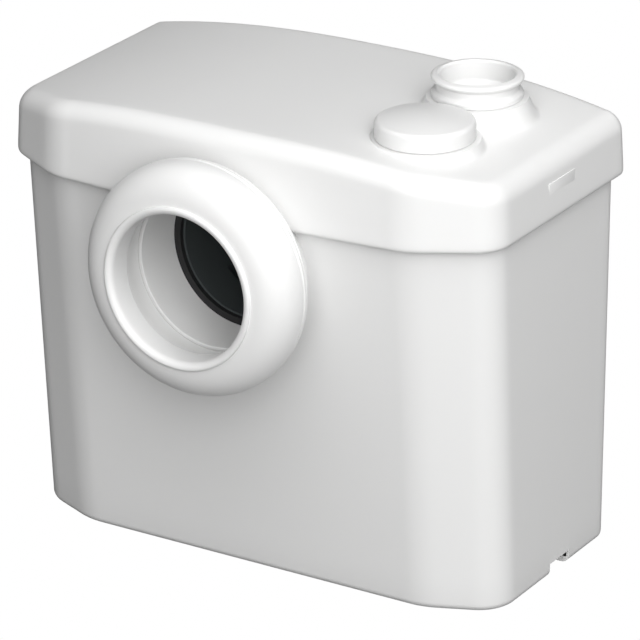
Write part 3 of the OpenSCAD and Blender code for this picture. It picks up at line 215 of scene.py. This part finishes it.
def lid_top(x, y):
    """Height of the lid's top with the seats of both ports blended into the crown."""
    ro, rv = np.hypot(x - PORT_X, y - OUTLET_Y), np.hypot(x - PORT_X, y - VENT_Y)
    mound = OUTLET_SEAT - SEAT_SLOPE * np.maximum(ro - OUTLET_SEAT_R, 0)
    z = np.minimum(smooth_max(crown(x), mound, SEAT_FILLET), OUTLET_SEAT)
    z = np.where(ro < OUTLET_SEAT_R - SEAT_EDGE, OUTLET_SEAT, z)
    seat = VENT_SEAT - SEAT_SLOPE * np.maximum(rv - VENT_SEAT_R, 0)
    near = smooth_max(z, seat, SEAT_FILLET / 2)
    wall = VENT_SEAT + (near - VENT_SEAT) * ease((rv - RECESS_R) / RECESS_RUN)
    return np.where(rv <= RECESS_R, VENT_SEAT, wall)


def inside(poly, x, y, margin):
    """True if the point lies inside the convex outline by at least the margin."""
    e = np.roll(poly, -1, 0) - poly
    ln = np.hypot(e[:, 0], e[:, 1])
    d = (e[:, 0] * (y - poly[:, 1]) - e[:, 1] * (x - poly[:, 0]))[ln > 1e-6] / ln[ln > 1e-6]
    return d.min() >= margin


# Meshes

def tidy_mesh(ob, smooth=SHARP, weld=2e-6):
    """Welds seams, turns the faces outwards and marks sharp edges by angle."""
    bm = bmesh.new()
    bm.from_mesh(ob.data)
    bmesh.ops.remove_doubles(bm, verts=bm.verts, dist=weld)
    bmesh.ops.dissolve_degenerate(bm, edges=bm.edges, dist=weld)
    bmesh.ops.recalc_face_normals(bm, faces=bm.faces)
    bm.to_mesh(ob.data)
    bm.free()
    ob.data.polygons.foreach_set("use_smooth", [True] * len(ob.data.polygons))
    ob.data.set_sharp_from_angle(angle=smooth)
    ob.data.update()
    return ob


def new_mesh(name, verts, faces, smooth=SHARP):
    """Mesh object from millimetre points."""
    me = bpy.data.meshes.new(name)
    me.from_pydata((np.asarray(verts, float) * MM).tolist(), [], [[int(i) for i in f] for f in faces])
    me.validate()
    ob = bpy.data.objects.new(name, me)
    bpy.context.scene.collection.objects.link(ob)
    return tidy_mesh(ob, smooth)


def ring_faces(rows, n, joined=False):
    """Quads between rows of n points, and from the last row back to the first if joined."""
    out = []
    for r in range(rows if joined else rows - 1):
        a, b = r * n, (r + 1) % rows * n
        out += [(a + i, a + (i + 1) % n, b + (i + 1) % n, b + i) for i in range(n)]
    return out


def hoop(name, rows, smooth=SHARP):
    """Closed band through rows of equal length that come back to the first."""
    return new_mesh(name, np.vstack(rows), ring_faces(len(rows), len(rows[0]), True), smooth)


def barrel(name, rows, smooth=SHARP):
    """Closed solid through rows of equal length, with a flat face at both ends."""
    n = len(rows[0])
    last = (len(rows) - 1) * n
    caps = [tuple(range(n))[::-1], tuple(range(last, last + n))]
    return new_mesh(name, np.vstack(rows), ring_faces(len(rows), n) + caps, smooth)


def domed(name, rows, height, points, smooth=SHARP_DOME):
    """Closed solid through rows, flat below, whose top follows height inside the last row."""
    n, rim = len(rows[0]), rows[-1]
    faces = ring_faces(len(rows), n) + [tuple(range(n))[::-1]]
    flat = [Vector(p) for p in rim[:, :2]] + [Vector(p) for p in points]
    found, _, tris, origin = delaunay_2d_cdt(flat, [], [list(range(n))], 1, 1e-6)[:4]
    xy = np.array([tuple(v) for v in found])
    z = height(xy[:, 0], xy[:, 1])
    for i, o in enumerate(origin):
        if o and o[0] < n:
            xy[i], z[i] = rim[o[0], :2], rim[o[0], 2]
    first = len(rows) * n
    faces += [tuple(first + i for i in f) for f in tris]
    return new_mesh(name, np.vstack(list(rows) + [np.column_stack([xy, z])]), faces, smooth)


def turned_rows(profile, at, axis, segments):
    """A ring of points for each (radius, height) of a profile, round z or towards -Y."""
    a = np.linspace(0, 2 * math.pi, segments, endpoint=False)
    rows = []
    for r, h in np.array(profile, float):
        x, y, z = r * np.cos(a), r * np.sin(a), np.full_like(a, h)
        rows.append(np.stack([x, y, z] if axis == "z" else [x, -z, y], 1) + np.array(at, float))
    return rows


def lathe(name, profile, at, axis="z", segments=192, smooth=SHARP):
    """Turned piece from a closed profile."""
    return hoop(name, turned_rows(profile, at, axis, segments), smooth)


def turned_cutter(r, low, high, at, axis="z", segments=192):
    """Plain cylinder that cuts, from low to high along its axis."""
    return barrel("cutter", turned_rows([(r, low), (r, high)], at, axis, segments))


def block(name, lo, hi, bevel=0.0):
    """Box between two corners, with its edges rounded by bevel."""
    (x0, y0, z0), (x1, y1, z1) = lo, hi
    v = [(x, y, z) for z in (z0, z1) for x, y in ((x0, y0), (x1, y0), (x1, y1), (x0, y1))]
    f = [(3, 2, 1, 0), (4, 5, 6, 7), (0, 1, 5, 4), (1, 2, 6, 5), (2, 3, 7, 6), (3, 0, 4, 7)]
    ob = new_mesh(name, v, f)
    if bevel:
        bm = bmesh.new()
        bm.from_mesh(ob.data)
        bmesh.ops.bevel(bm, geom=bm.edges[:], offset=bevel * MM, segments=3, profile=0.5, affect="EDGES")
        bm.to_mesh(ob.data)
        bm.free()
        tidy_mesh(ob, SHARP_BEVEL)
    return ob


def subtract(ob, cutters, smooth=SHARP):
    """Cuts every cutter out of the object and deletes the cutters."""
    for c in cutters:
        m = ob.modifiers.new("cut", "BOOLEAN")
        m.operation, m.solver, m.object = "DIFFERENCE", "EXACT", c
    dg = bpy.context.evaluated_depsgraph_get()
    me = bpy.data.meshes.new_from_object(ob.evaluated_get(dg))
    ob.modifiers.clear()
    ob.data = me
    for c in cutters:
        bpy.data.objects.remove(c)
    return tidy_mesh(ob, smooth)


def cubic(a, b, c, d, n):
    t = np.linspace(0, 1, n + 1)[:, None]
    a, b, c, d = (np.array(q, float) for q in (a, b, c, d))
    return (1 - t) ** 3 * a + 3 * (1 - t) ** 2 * t * b + 3 * (1 - t) * t * t * c + t ** 3 * d


def rounded(points, r, steps=5):
    """Closed profile with each corner rounded by up to r."""
    pts = [np.array(p, float) for p in points]
    out = []
    for i, v in enumerate(pts):
        a, b = pts[i - 1], pts[(i + 1) % len(pts)]
        la, lb = np.linalg.norm(a - v), np.linalg.norm(b - v)
        reach = min(r, FILLET_SHARE * la, FILLET_SHARE * lb)
        p, q = v + (a - v) / la * reach, v + (b - v) / lb * reach
        for t in np.linspace(0, 1, steps + 1):
            out.append((1 - t) ** 2 * p + 2 * t * (1 - t) * v + t * t * q)
    return np.array(out)


# Tank

def tank_shell():
    """Drafted open container with a rounded base, its socket, gland hole and notches."""
    outer = [(BASE_ROUND * (1 - math.cos(a)), BASE_ROUND * (1 - math.sin(a)))
             for a in np.linspace(math.pi / 2, 0, 8)]
    outer += [(0.0, z) for z in np.linspace(20, TANK_H - RIM_RUN, 16)]
    rim = [(0.0, TANK_H - RIM_BREAK), (RIM_BREAK, TANK_H), (TANK_WALL - RIM_BREAK, TANK_H),
           (TANK_WALL, TANK_H - RIM_BREAK)]
    inner = [(TANK_WALL, z) for z in np.linspace(TANK_H - RIM_RUN, 10, 12)]
    inner += [(TANK_WALL + d, TANK_FLOOR + h) for d, h in FLOOR_ROUND]
    rows = [level(tank_plan(z), d, z) for d, z in outer + rim + inner]
    cutters = [turned_cutter(SPIGOT_R, SHOULDER_F - SHOULDER_T, BOSS_F + SOCKET_CUT, (0, 0, INLET_Z), "y"),
               turned_cutter(GLAND_R, -HALF_D, -HALF_D + GLAND_CUT, (GLAND_X, 0, GLAND_Z), "y", 64)]
    for s in (-1, 1):
        x = sorted((s * NOTCH_X, s * (HALF_W + CUT_PAST)))
        cutters.append(block("cutter", (x[0], NOTCH_Y - NOTCH_W / 2, -NOTCH_H),
                             (x[1], NOTCH_Y + NOTCH_W / 2, NOTCH_H)))
    return subtract(barrel("tank_shell", rows), cutters)


def notch_pad(side):
    """Thick corner inside the tank that closes a bracket notch."""
    far = HALF_W - OVERHANG - TANK_WALL / 2
    y, top = NOTCH_W / 2 + NOTCH_WALL, NOTCH_H + NOTCH_WALL
    x = sorted((side * (NOTCH_X - NOTCH_WALL), side * far))
    pad = block("notch_pad", (x[0], NOTCH_Y - y, TANK_FLOOR - FIT), (x[1], NOTCH_Y + y, top))
    cut = sorted((side * NOTCH_X, side * (HALF_W + CUT_PAST)))
    return subtract(pad, [block("cutter", (cut[0], NOTCH_Y - NOTCH_W / 2, 0),
                                (cut[1], NOTCH_Y + NOTCH_W / 2, NOTCH_H))])


def cradle(x, r):
    """Upright plate whose top is hollowed to carry a round housing."""
    seat = r + CUSHION_T
    half, top = seat * math.sin(math.pi / 3), SHAFT_Z - r + CRADLE_RISE
    plate = block("cradle", (x - CRADLE_T / 2, -half, TANK_FLOOR - FIT), (x + CRADLE_T / 2, half, top))
    a = np.linspace(0, 2 * math.pi, 160, endpoint=False)
    rows = [np.stack([np.full_like(a, h), seat * np.cos(a), SHAFT_Z + seat * np.sin(a)], 1)
            for h in (x - CRADLE_T, x + CRADLE_T)]
    return subtract(plate, [barrel("cutter", rows)])


def inlet_boss():
    """Turned boss with its shoulder, socket and the spigot that the sleeve grips."""
    end = BOSS_F + SPIGOT_L
    profile = [(THROAT_R, SHOULDER_F - SHOULDER_T), (BOSS_R, SHOULDER_F - SHOULDER_T), (BOSS_R, BOSS_F),
               (SPIGOT_R, BOSS_F), (SPIGOT_R, end), (SOCKET_R, end), (SOCKET_R, SHOULDER_F),
               (THROAT_R, SHOULDER_F)]
    return lathe("inlet_boss", rounded(profile, 0.5, 3), (0, 0, INLET_Z), "y")


# Lid

def skirt_rows():
    """Rings of the bead, the skirt and the rounded top edge."""
    rows = [level(LID_PLAN, d, SKIRT_Z + h) for d, h in BEAD]
    start, low = BEAD[-1][0], SKIRT_Z + BEAD[-1][1]
    for t in np.linspace(0, 1, 10)[1:-1]:
        d = start + (SKIRT_DRAFT - start) * t
        p = outline(LID_PLAN, d)
        rows.append(np.column_stack([p, low + (crown(p[:, 0]) - EDGE_R - low) * t]))
    for a in np.linspace(0, math.pi / 2, 13):
        rows.append(crown_level(SKIRT_DRAFT + EDGE_R * (1 - math.cos(a)), EDGE_R * (1 - math.sin(a))))
    return rows


def grid(rim, pitch, x_reach, y_reach, margin):
    """Points at even steps inside the rim."""
    return [(x, y) for x in np.arange(-x_reach, x_reach + 1, pitch)
            for y in np.arange(-y_reach, GRID_BACK, pitch) if inside(rim, x, y, margin)]


def top_points(rim):
    """Loose grid over the top, with close circles round both ports."""
    ports = ((OUTLET_Y, OUTLET_SEAT_R, OUTLET_CIRCLES, RECESS_R + 1.3),
             (VENT_Y, VENT_SEAT_R, VENT_CIRCLES, OUTLET_SEAT_R - 0.8))
    points = [(x, y) for x, y in grid(rim, 5.0, 150, 85, 2.0)
              if min(math.hypot(x - PORT_X, y - port[0]) for port in ports) > GRID_CLEAR]
    turn = np.linspace(0, 2 * math.pi, 160, endpoint=False)
    for (cy, seat, near, limit), other in zip(ports, (VENT_Y, OUTLET_Y)):
        for r in near + [seat + step for step in SEAT_STEPS]:
            for a in turn:
                x, y = PORT_X + r * math.cos(a), cy + r * math.sin(a)
                far = math.hypot(x - PORT_X, y - other)
                if inside(rim, x, y, 0.5) and far > limit and (r < seat + 0.2 or far > r - 0.1):
                    points.append((x, y))
    return points


def lid_skin():
    """Crowned moulding with a deep beaded skirt, its arch, both port holes and their seats."""
    rows = skirt_rows()
    outer = domed("lid_skin", rows, lid_top, top_points(rows[-1][:, :2]))
    d, r = LID_WALL + SKIRT_DRAFT, EDGE_R - LID_WALL
    rows = [level(LID_PLAN, d, SKIRT_Z - HOLLOW_CUT), crown_level(d, EDGE_R)]
    rows += [crown_level(d + r * (1 - math.cos(a)), EDGE_R - r * math.sin(a))
             for a in np.linspace(0, math.pi / 2, 8)[1:]]
    points = grid(rows[-1][:, :2], 10.0, 140, 80, 3.0)
    hollow = domed("cutter", rows, lambda x, y: crown(x) - LID_WALL, points)
    return subtract(outer, [hollow, arch_cutter(),
                            turned_cutter(OUTLET_HOLE_R, *HOLE_CUT, (PORT_X, OUTLET_Y, 0)),
                            turned_cutter(VENT_HOLE_R, *HOLE_CUT, (PORT_X, VENT_Y, 0))], SHARP_DOME)


def arch_cutter():
    return turned_cutter(ARCH_R, SHOULDER_F - ARCH_CUT, LIP_F, (0, 0, INLET_Z), "y", 256)


def lid_ledge():
    """Ledge inside the skirt that rests on the gasket."""
    rows = [level(LID_PLAN, d, z) for d, z in ((LEDGE_OUT, LEDGE_Z), (LEDGE_OUT, LEDGE_Z + LEDGE_T),
                                               (LEDGE_IN, LEDGE_Z + LEDGE_T), (LEDGE_IN, LEDGE_Z))]
    return subtract(hoop("lid_ledge", rows), [arch_cutter()])


def guide_tube():
    """Tube under the outlet that leads the riser to the collar."""
    r = OUTLET_HOLE_R + GUIDE_GAP
    low, top = OUTLET_SEAT - GUIDE_DROP, CROWN_Z - GUIDE_TOP
    profile = [(r, low), (r + GUIDE_T, low), (r + GUIDE_T, top), (r, top)]
    return lathe("guide_tube", rounded(profile, 0.4, 3), (PORT_X, OUTLET_Y, 0))


def vent_neck():
    """Ring on the vent's seat that the cap fits over."""
    profile = [(NECK_IN, -FIT), (NECK_OUT, -FIT), (NECK_OUT, NECK_H), (NECK_IN, NECK_H)]
    return lathe("vent_neck", rounded(profile, 0.4, 3), (PORT_X, VENT_Y, VENT_SEAT))


def bar_tree():
    """Geometry Nodes tree of bars crossed about the vertical."""
    tree = bpy.data.node_groups.new("crossed_bars", "GeometryNodeTree")
    kinds = (("Count", "NodeSocketInt"), ("Length", "NodeSocketFloat"), ("Width", "NodeSocketFloat"),
             ("Height", "NodeSocketFloat"), ("Place", "NodeSocketVector"), ("Material", "NodeSocketMaterial"))
    ids = {n: tree.interface.new_socket(n, in_out="INPUT", socket_type=k).identifier for n, k in kinds}
    tree.interface.new_socket("Geometry", in_out="OUTPUT", socket_type="NodeSocketGeometry")
    n, l = tree.nodes, tree.links
    gi, go = n.new("NodeGroupInput"), n.new("NodeGroupOutput")
    size, bar = n.new("ShaderNodeCombineXYZ"), n.new("GeometryNodeMeshCube")
    for label, axis in (("Length", "X"), ("Width", "Y"), ("Height", "Z")):
        l.new(gi.outputs[label], size.inputs[axis])
    l.new(size.outputs[0], bar.inputs["Size"])
    points, index = n.new("GeometryNodePoints"), n.new("GeometryNodeInputIndex")
    l.new(gi.outputs["Count"], points.inputs["Count"])
    l.new(gi.outputs["Place"], points.inputs["Position"])
    step, turn, euler = n.new("ShaderNodeMath"), n.new("ShaderNodeMath"), n.new("ShaderNodeCombineXYZ")
    step.operation, turn.operation = "DIVIDE", "MULTIPLY"
    step.inputs[0].default_value = math.pi
    l.new(gi.outputs["Count"], step.inputs[1])
    l.new(step.outputs[0], turn.inputs[0])
    l.new(index.outputs[0], turn.inputs[1])
    l.new(turn.outputs[0], euler.inputs["Z"])
    copies, real, paint = (n.new("GeometryNodeInstanceOnPoints"), n.new("GeometryNodeRealizeInstances"),
                           n.new("GeometryNodeSetMaterial"))
    l.new(points.outputs[0], copies.inputs["Points"])
    l.new(bar.outputs["Mesh"], copies.inputs["Instance"])
    l.new(euler.outputs[0], copies.inputs["Rotation"])
    l.new(copies.outputs[0], real.inputs[0])
    l.new(real.outputs[0], paint.inputs["Geometry"])
    l.new(gi.outputs["Material"], paint.inputs["Material"])
    l.new(paint.outputs[0], go.inputs[0])
    return tree, ids


def vent_bars():
    """Crossed bars that carry the filter over the vent hole."""
    tree, ids = bar_tree()
    ob = bpy.data.objects.new("vent_bars", bpy.data.meshes.new("vent_bars"))
    bpy.context.scene.collection.objects.link(ob)
    mod = ob.modifiers.new("bars", "NODES")
    mod.node_group = tree
    height = LID_WALL - FIT
    place_at = (PORT_X * MM, VENT_Y * MM, (VENT_SEAT - LID_WALL + height / 2) * MM)
    for label, value in (("Count", 2), ("Length", 2 * (VENT_HOLE_R + FIT) * MM), ("Width", BAR_W * MM),
                         ("Height", height * MM), ("Place", place_at), ("Material", MATS["white_plastic"])):
        mod[ids[label]] = value
    dg = bpy.context.evaluated_depsgraph_get()
    me = bpy.data.meshes.new_from_object(ob.evaluated_get(dg))
    ob.modifiers.clear()
    ob.data = me
    return tidy_mesh(ob)


# Sleeve, cap and collar

def sleeve_skin():
    """Fat soft sleeve: grooved rear, bulb, rolled lip and the hollow that grips the boss."""
    neck, mouth = BOSS_F + FIT, BOSS_F + SPIGOT_L
    k = np.linspace(0, 1, REAR_STEPS + 1)
    rear = cubic((BOSS_R, neck + NECK_T), (BOSS_R + REAR_RISE, neck + REAR_RUN),
                 (BULB_R, BULB_F - BULB_BACK), (BULB_R, BULB_F), REAR_STEPS)
    run = np.clip((k - GROOVE_START) / (GROOVE_END - GROOVE_START), 0, 1)
    rear[:, 0] -= GROOVE_DEPTH * (0.5 - 0.5 * np.cos(2 * math.pi * GROOVES * run)) ** 3
    dome = cubic((BULB_R, BULB_F), (BULB_R, BULB_F + BULB_FRONT), (LIP_R + LIP_FLARE, LIP_F - LIP_ROUND),
                 (LIP_R + LIP_T, LIP_F - LIP_ROUND), 48)
    lip = cubic((LIP_R + LIP_T, LIP_F - LIP_ROUND / 2), (LIP_R + LIP_T, LIP_F + LIP_ROUND / 4),
                (LIP_R, LIP_F + LIP_ROUND / 4), (LIP_R, LIP_F - 2 * LIP_ROUND), 16)
    inner, back = BULB_R - SLEEVE_WALL, LIP_F - LIP_L - LIP_ROUND
    hollow = cubic((LIP_R + 2 * LIP_ROUND, back), (inner, back), (inner, BULB_F - BULB_BACK),
                   (SPIGOT_R + NECK_T, mouth + FIT), 32)
    profile = np.vstack([[(BOSS_R, neck)], rear, dome[1:], lip,
                         [(LIP_R, LIP_F - LIP_L), (LIP_R + LIP_ROUND, back)], hollow,
                         [(SPIGOT_R + FIT, mouth), (SPIGOT_R + FIT, neck)]])
    return lathe("sleeve_skin", profile, (0, 0, INLET_Z), "y", 256)


def cap_skin():
    """Low domed cap with a rounded shoulder, hollow over the vent's neck."""
    outer = CAP_FOOT + [(CAP_R, CAP_SIDE)]
    outer += [(CAP_R - CAP_ROUND * (1 - math.cos(a)), CAP_SIDE + CAP_ROUND * math.sin(a))
              for a in np.linspace(0.15, math.pi / 2, 9)]
    outer += [(CAP_TOP_R * s, CAP_TOP - CAP_RISE * s * s) for s in np.linspace(0.96, 0.01, 30)]
    return lathe("cap_skin", outer + CAP_INSIDE, (PORT_X, VENT_Y, VENT_SEAT + FIT), "z", 160)


def collar_skin():
    """Open ring with a rim, a neck and a foot, and the spigot that goes into the lid."""
    return lathe("collar_skin", rounded(COLLAR, 0.8, 5), (PORT_X, OUTLET_Y, OUTLET_SEAT + FIT))


# Materials

def shader_group(name, inputs):
    """Shader group with the given inputs, and colour, roughness and normal as outputs."""
    g = bpy.data.node_groups.new(name, "ShaderNodeTree")
    for n, kind, value in inputs:
        g.interface.new_socket(n, in_out="INPUT", socket_type=kind).default_value = value
    for n, kind in (("Color", "NodeSocketColor"), ("Roughness", "NodeSocketFloat"),
                    ("Normal", "NodeSocketVector")):
        g.interface.new_socket(n, in_out="OUTPUT", socket_type=kind)
    return g, g.nodes.new("NodeGroupInput"), g.nodes.new("NodeGroupOutput")


def feed(l, socket, value):
    """Links a socket to the input, or gives it a number."""
    if hasattr(value, "node"):
        l.new(value, socket)
    else:
        socket.default_value = value


def math_node(n, l, operation, a, b):
    """Math node whose inputs are sockets or numbers; returns its output."""
    m = n.new("ShaderNodeMath")
    m.operation = operation
    for socket, value in zip(m.inputs, (a, b)):
        feed(l, socket, value)
    return m.outputs[0]


def surface(g, gi, go, tone, low, high, height, strength):
    """Scales colour and roughness by the tone, and raises the surface by the height."""
    n, l = g.nodes, g.links
    span, hsv, bump = (n.new("ShaderNodeMapRange"), n.new("ShaderNodeHueSaturation"),
                       n.new("ShaderNodeBump"))
    l.new(tone, span.inputs["Value"])
    feed(l, span.inputs["To Min"], low)
    feed(l, span.inputs["To Max"], high)
    l.new(gi.outputs["Color"], hsv.inputs["Color"])
    l.new(span.outputs["Result"], hsv.inputs["Value"])
    l.new(hsv.outputs["Color"], go.inputs["Color"])
    rough = math_node(n, l, "MULTIPLY", gi.outputs["Roughness"], span.outputs["Result"])
    l.new(rough, go.inputs["Roughness"])
    feed(l, bump.inputs["Strength"], strength)
    bump.inputs["Distance"].default_value = BUMP_DISTANCE
    l.new(height, bump.inputs["Height"])
    l.new(bump.outputs["Normal"], go.inputs["Normal"])
    return g


def moulded_group():
    """Moulded surface: slow drift of tone and roughness, with a fine grain."""
    g, gi, go = shader_group("moulded_surface", [("Color", "NodeSocketColor", (0.8, 0.8, 0.8, 1)),
                                                 ("Drift", "NodeSocketFloat", 0.02),
                                                 ("Grain", "NodeSocketFloat", 0.05),
                                                 ("Roughness", "NodeSocketFloat", 0.4)])
    n, l = g.nodes, g.links
    tc = n.new("ShaderNodeTexCoord")
    broad, fine = n.new("ShaderNodeTexNoise"), n.new("ShaderNodeTexNoise")
    for noise, scale, detail in ((broad, 9.0, 3.0), (fine, 1600.0, 2.0)):
        noise.inputs["Scale"].default_value = scale
        noise.inputs["Detail"].default_value = detail
        l.new(tc.outputs["Object"], noise.inputs["Vector"])
    low = math_node(n, l, "SUBTRACT", 1.0, gi.outputs["Drift"])
    high = math_node(n, l, "ADD", 1.0, gi.outputs["Drift"])
    return surface(g, gi, go, broad.outputs["Fac"], low, high, fine.outputs["Fac"], gi.outputs["Grain"])


def metal_group():
    """Turned or brushed metal: streaks along one direction in tone and roughness."""
    g, gi, go = shader_group("worked_metal", [("Color", "NodeSocketColor", (0.6, 0.6, 0.6, 1)),
                                              ("Streaks", "NodeSocketVector", (40.0, 900.0, 900.0)),
                                              ("Roughness", "NodeSocketFloat", 0.3)])
    n, l = g.nodes, g.links
    tc, mp, noise = n.new("ShaderNodeTexCoord"), n.new("ShaderNodeMapping"), n.new("ShaderNodeTexNoise")
    l.new(tc.outputs["Object"], mp.inputs["Vector"])
    l.new(gi.outputs["Streaks"], mp.inputs["Scale"])
    l.new(mp.outputs["Vector"], noise.inputs["Vector"])
    noise.inputs["Scale"].default_value = 1.0
    noise.inputs["Detail"].default_value = 4.0
    return surface(g, gi, go, noise.outputs["Fac"], 0.75, 1.2, noise.outputs["Fac"], 0.15)


MOULDED, METAL = moulded_group(), metal_group()


def material(name, colour, roughness, metallic=0.0, drift=0.015, grain=0.05, streaks=None):
    """Finish of one material slot, on one of the two shared groups."""
    m = bpy.data.materials.new(name)
    m.use_nodes = True
    n, l = m.node_tree.nodes, m.node_tree.links
    b = n["Principled BSDF"]
    g = n.new("ShaderNodeGroup")
    g.node_tree = METAL if streaks else MOULDED
    g.inputs["Color"].default_value = (*colour, 1)
    g.inputs["Roughness"].default_value = roughness
    if streaks:
        g.inputs["Streaks"].default_value = streaks
    else:
        g.inputs["Drift"].default_value = drift
        g.inputs["Grain"].default_value = grain
    b.inputs["Metallic"].default_value = metallic
    for a, c in (("Color", "Base Color"), ("Roughness", "Roughness"), ("Normal", "Normal")):
        l.new(g.outputs[a], b.inputs[c])
    return m


MATS = {
    "white_plastic": material("white_plastic", (0.80, 0.80, 0.795), 0.34, drift=0.012, grain=0.10),
    "white_rubber": material("white_rubber", (0.79, 0.79, 0.785), 0.42, drift=0.015, grain=0.12),
    "black_rubber": material("black_rubber", (0.012, 0.012, 0.013), 0.65, drift=0.15, grain=0.2),
    "dark_plastic": material("dark_plastic", (0.060, 0.069, 0.071), 0.5, drift=0.12, grain=0.15),
    "grey_plastic": material("grey_plastic", (0.42, 0.43, 0.44), 0.45, drift=0.05, grain=0.1),
    "steel": material("steel", (0.56, 0.57, 0.59), 0.28, metallic=1.0, streaks=(60, 900, 900)),
    "core_iron": material("core_iron", (0.20, 0.21, 0.23), 0.45, metallic=0.8, streaks=(2500, 20, 20)),
    "copper": material("copper", (0.62, 0.25, 0.09), 0.35, metallic=0.7, streaks=(60, 1500, 1500)),
    "can_metal": material("can_metal", (0.7, 0.71, 0.73), 0.3, metallic=1.0, streaks=(900, 30, 900)),
    "seal_ceramic": material("seal_ceramic", (0.6, 0.57, 0.5), 0.3, drift=0.05),
}

slots = {s["node"]: s["material_slot"] for s in frame["record"]["subparts"]}
for node_name, cad in frame["nodes"].items():
    cad.data.materials.clear()
    cad.data.materials.append(MATS[slots[node_name]])


def place(ob, body, slot_name, node):
    """Rides a piece on its body, in the finish and in place of its CAD node."""
    ob.data.materials.clear()
    ob.data.materials.append(MATS[slot_name])
    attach(ob, body)
    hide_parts(node)


for piece in [tank_shell(), inlet_boss()] + [notch_pad(s) for s in (-1, 1)] + \
        [cradle(x, r) for x, r in SADDLES] + [block("box_shelf", lo, hi, BOX_BEVEL) for lo, hi in SHELF]:
    place(piece, "case", "white_plastic", "tank")
for piece in (lid_skin(), lid_ledge(), guide_tube(), vent_neck(), vent_bars(),
              block("side_pad", *SIDE_PAD, PAD_BEVEL)):
    place(piece, "cover", "white_plastic", "lid")
place(sleeve_skin(), "case", "white_rubber", "inlet_sleeve")
place(cap_skin(), "cap", "white_plastic", "vent_cap")
place(collar_skin(), "cover", "white_plastic", "outlet_collar")


# Floor, background, light and camera

def camera_switch(tree, output, unseen, white):
    """White to the camera, and the unseen shader to every other ray."""
    n, l = tree.nodes, tree.links
    mix, path = n.new("ShaderNodeMixShader"), n.new("ShaderNodeLightPath")
    white.inputs["Color"].default_value = (1, 1, 1, 1)
    l.new(path.outputs["Is Camera Ray"], mix.inputs["Fac"])
    l.new(unseen.outputs[0], mix.inputs[1])
    l.new(white.outputs[0], mix.inputs[2])
    l.new(mix.outputs[0], output.inputs["Surface"])


def stage_floor():
    me = bpy.data.meshes.new("floor")
    corners = [(x * FLOOR_REACH, y * FLOOR_REACH, FLOOR_Z) for x, y in ((-1, -1), (1, -1), (1, 1), (-1, 1))]
    me.from_pydata(corners, [], [(0, 1, 2, 3)])
    ob = bpy.data.objects.new("floor", me)
    bpy.context.scene.collection.objects.link(ob)
    m = bpy.data.materials.new("floor")
    m.use_nodes = True
    m.node_tree.nodes.clear()
    n = m.node_tree.nodes
    pale = n.new("ShaderNodeBsdfDiffuse")
    pale.inputs["Color"].default_value = FLOOR_TONE
    camera_switch(m.node_tree, n.new("ShaderNodeOutputMaterial"), pale, n.new("ShaderNodeEmission"))
    me.materials.append(m)


def world():
    w = bpy.data.worlds.new("studio")
    bpy.context.scene.world = w
    w.use_nodes = True
    w.node_tree.nodes.clear()
    n = w.node_tree.nodes
    dim = n.new("ShaderNodeBackground")
    dim.inputs["Color"].default_value = WORLD_TONE
    camera_switch(w.node_tree, n.new("ShaderNodeOutputWorld"), dim, n.new("ShaderNodeBackground"))


def softbox(name, direction, distance, size, power):
    d = bpy.data.lights.new(name, "AREA")
    d.shape = "SQUARE"
    d.size = size
    d.energy = power
    ob = bpy.data.objects.new(name, d)
    bpy.context.scene.collection.objects.link(ob)
    away = Vector(direction).normalized()
    ob.location = Vector(LIGHT_AIM) + away * distance
    ob.rotation_mode = "QUATERNION"
    ob.rotation_quaternion = (-away).to_track_quat("-Z", "Y")


def camera():
    az, el, roll = (math.radians(a) for a in (CAM_AZIMUTH, CAM_ELEVATION, CAM_ROLL))
    back = Vector((math.sin(az) * math.cos(el), -math.cos(az) * math.cos(el), math.sin(el)))
    right = Vector((math.cos(az), math.sin(az), 0))
    right = right * math.cos(roll) + back.cross(right) * math.sin(roll)
    d = bpy.data.cameras.new("camera")
    d.sensor_width, d.lens = SENSOR_MM, FOCAL_PX * SENSOR_MM / IMAGE_PX
    d.shift_x, d.shift_y = (IMAGE_PX / 2 - CENTRE_X_PX) / IMAGE_PX, SHIFT_Y_PX / IMAGE_PX
    d.clip_start, d.clip_end = 0.1, 30
    ob = bpy.data.objects.new("camera", d)
    bpy.context.scene.collection.objects.link(ob)
    turn = Matrix((right, back.cross(right), back)).transposed().to_4x4()
    ob.matrix_world = Matrix.Translation(Vector(CAM_AIM) + back * CAM_DISTANCE) @ turn
    bpy.context.scene.camera = ob


stage_floor()
world()
for box in SOFTBOXES:
    softbox(*box)
camera()
bpy.context.scene.view_settings.view_transform = "Standard"
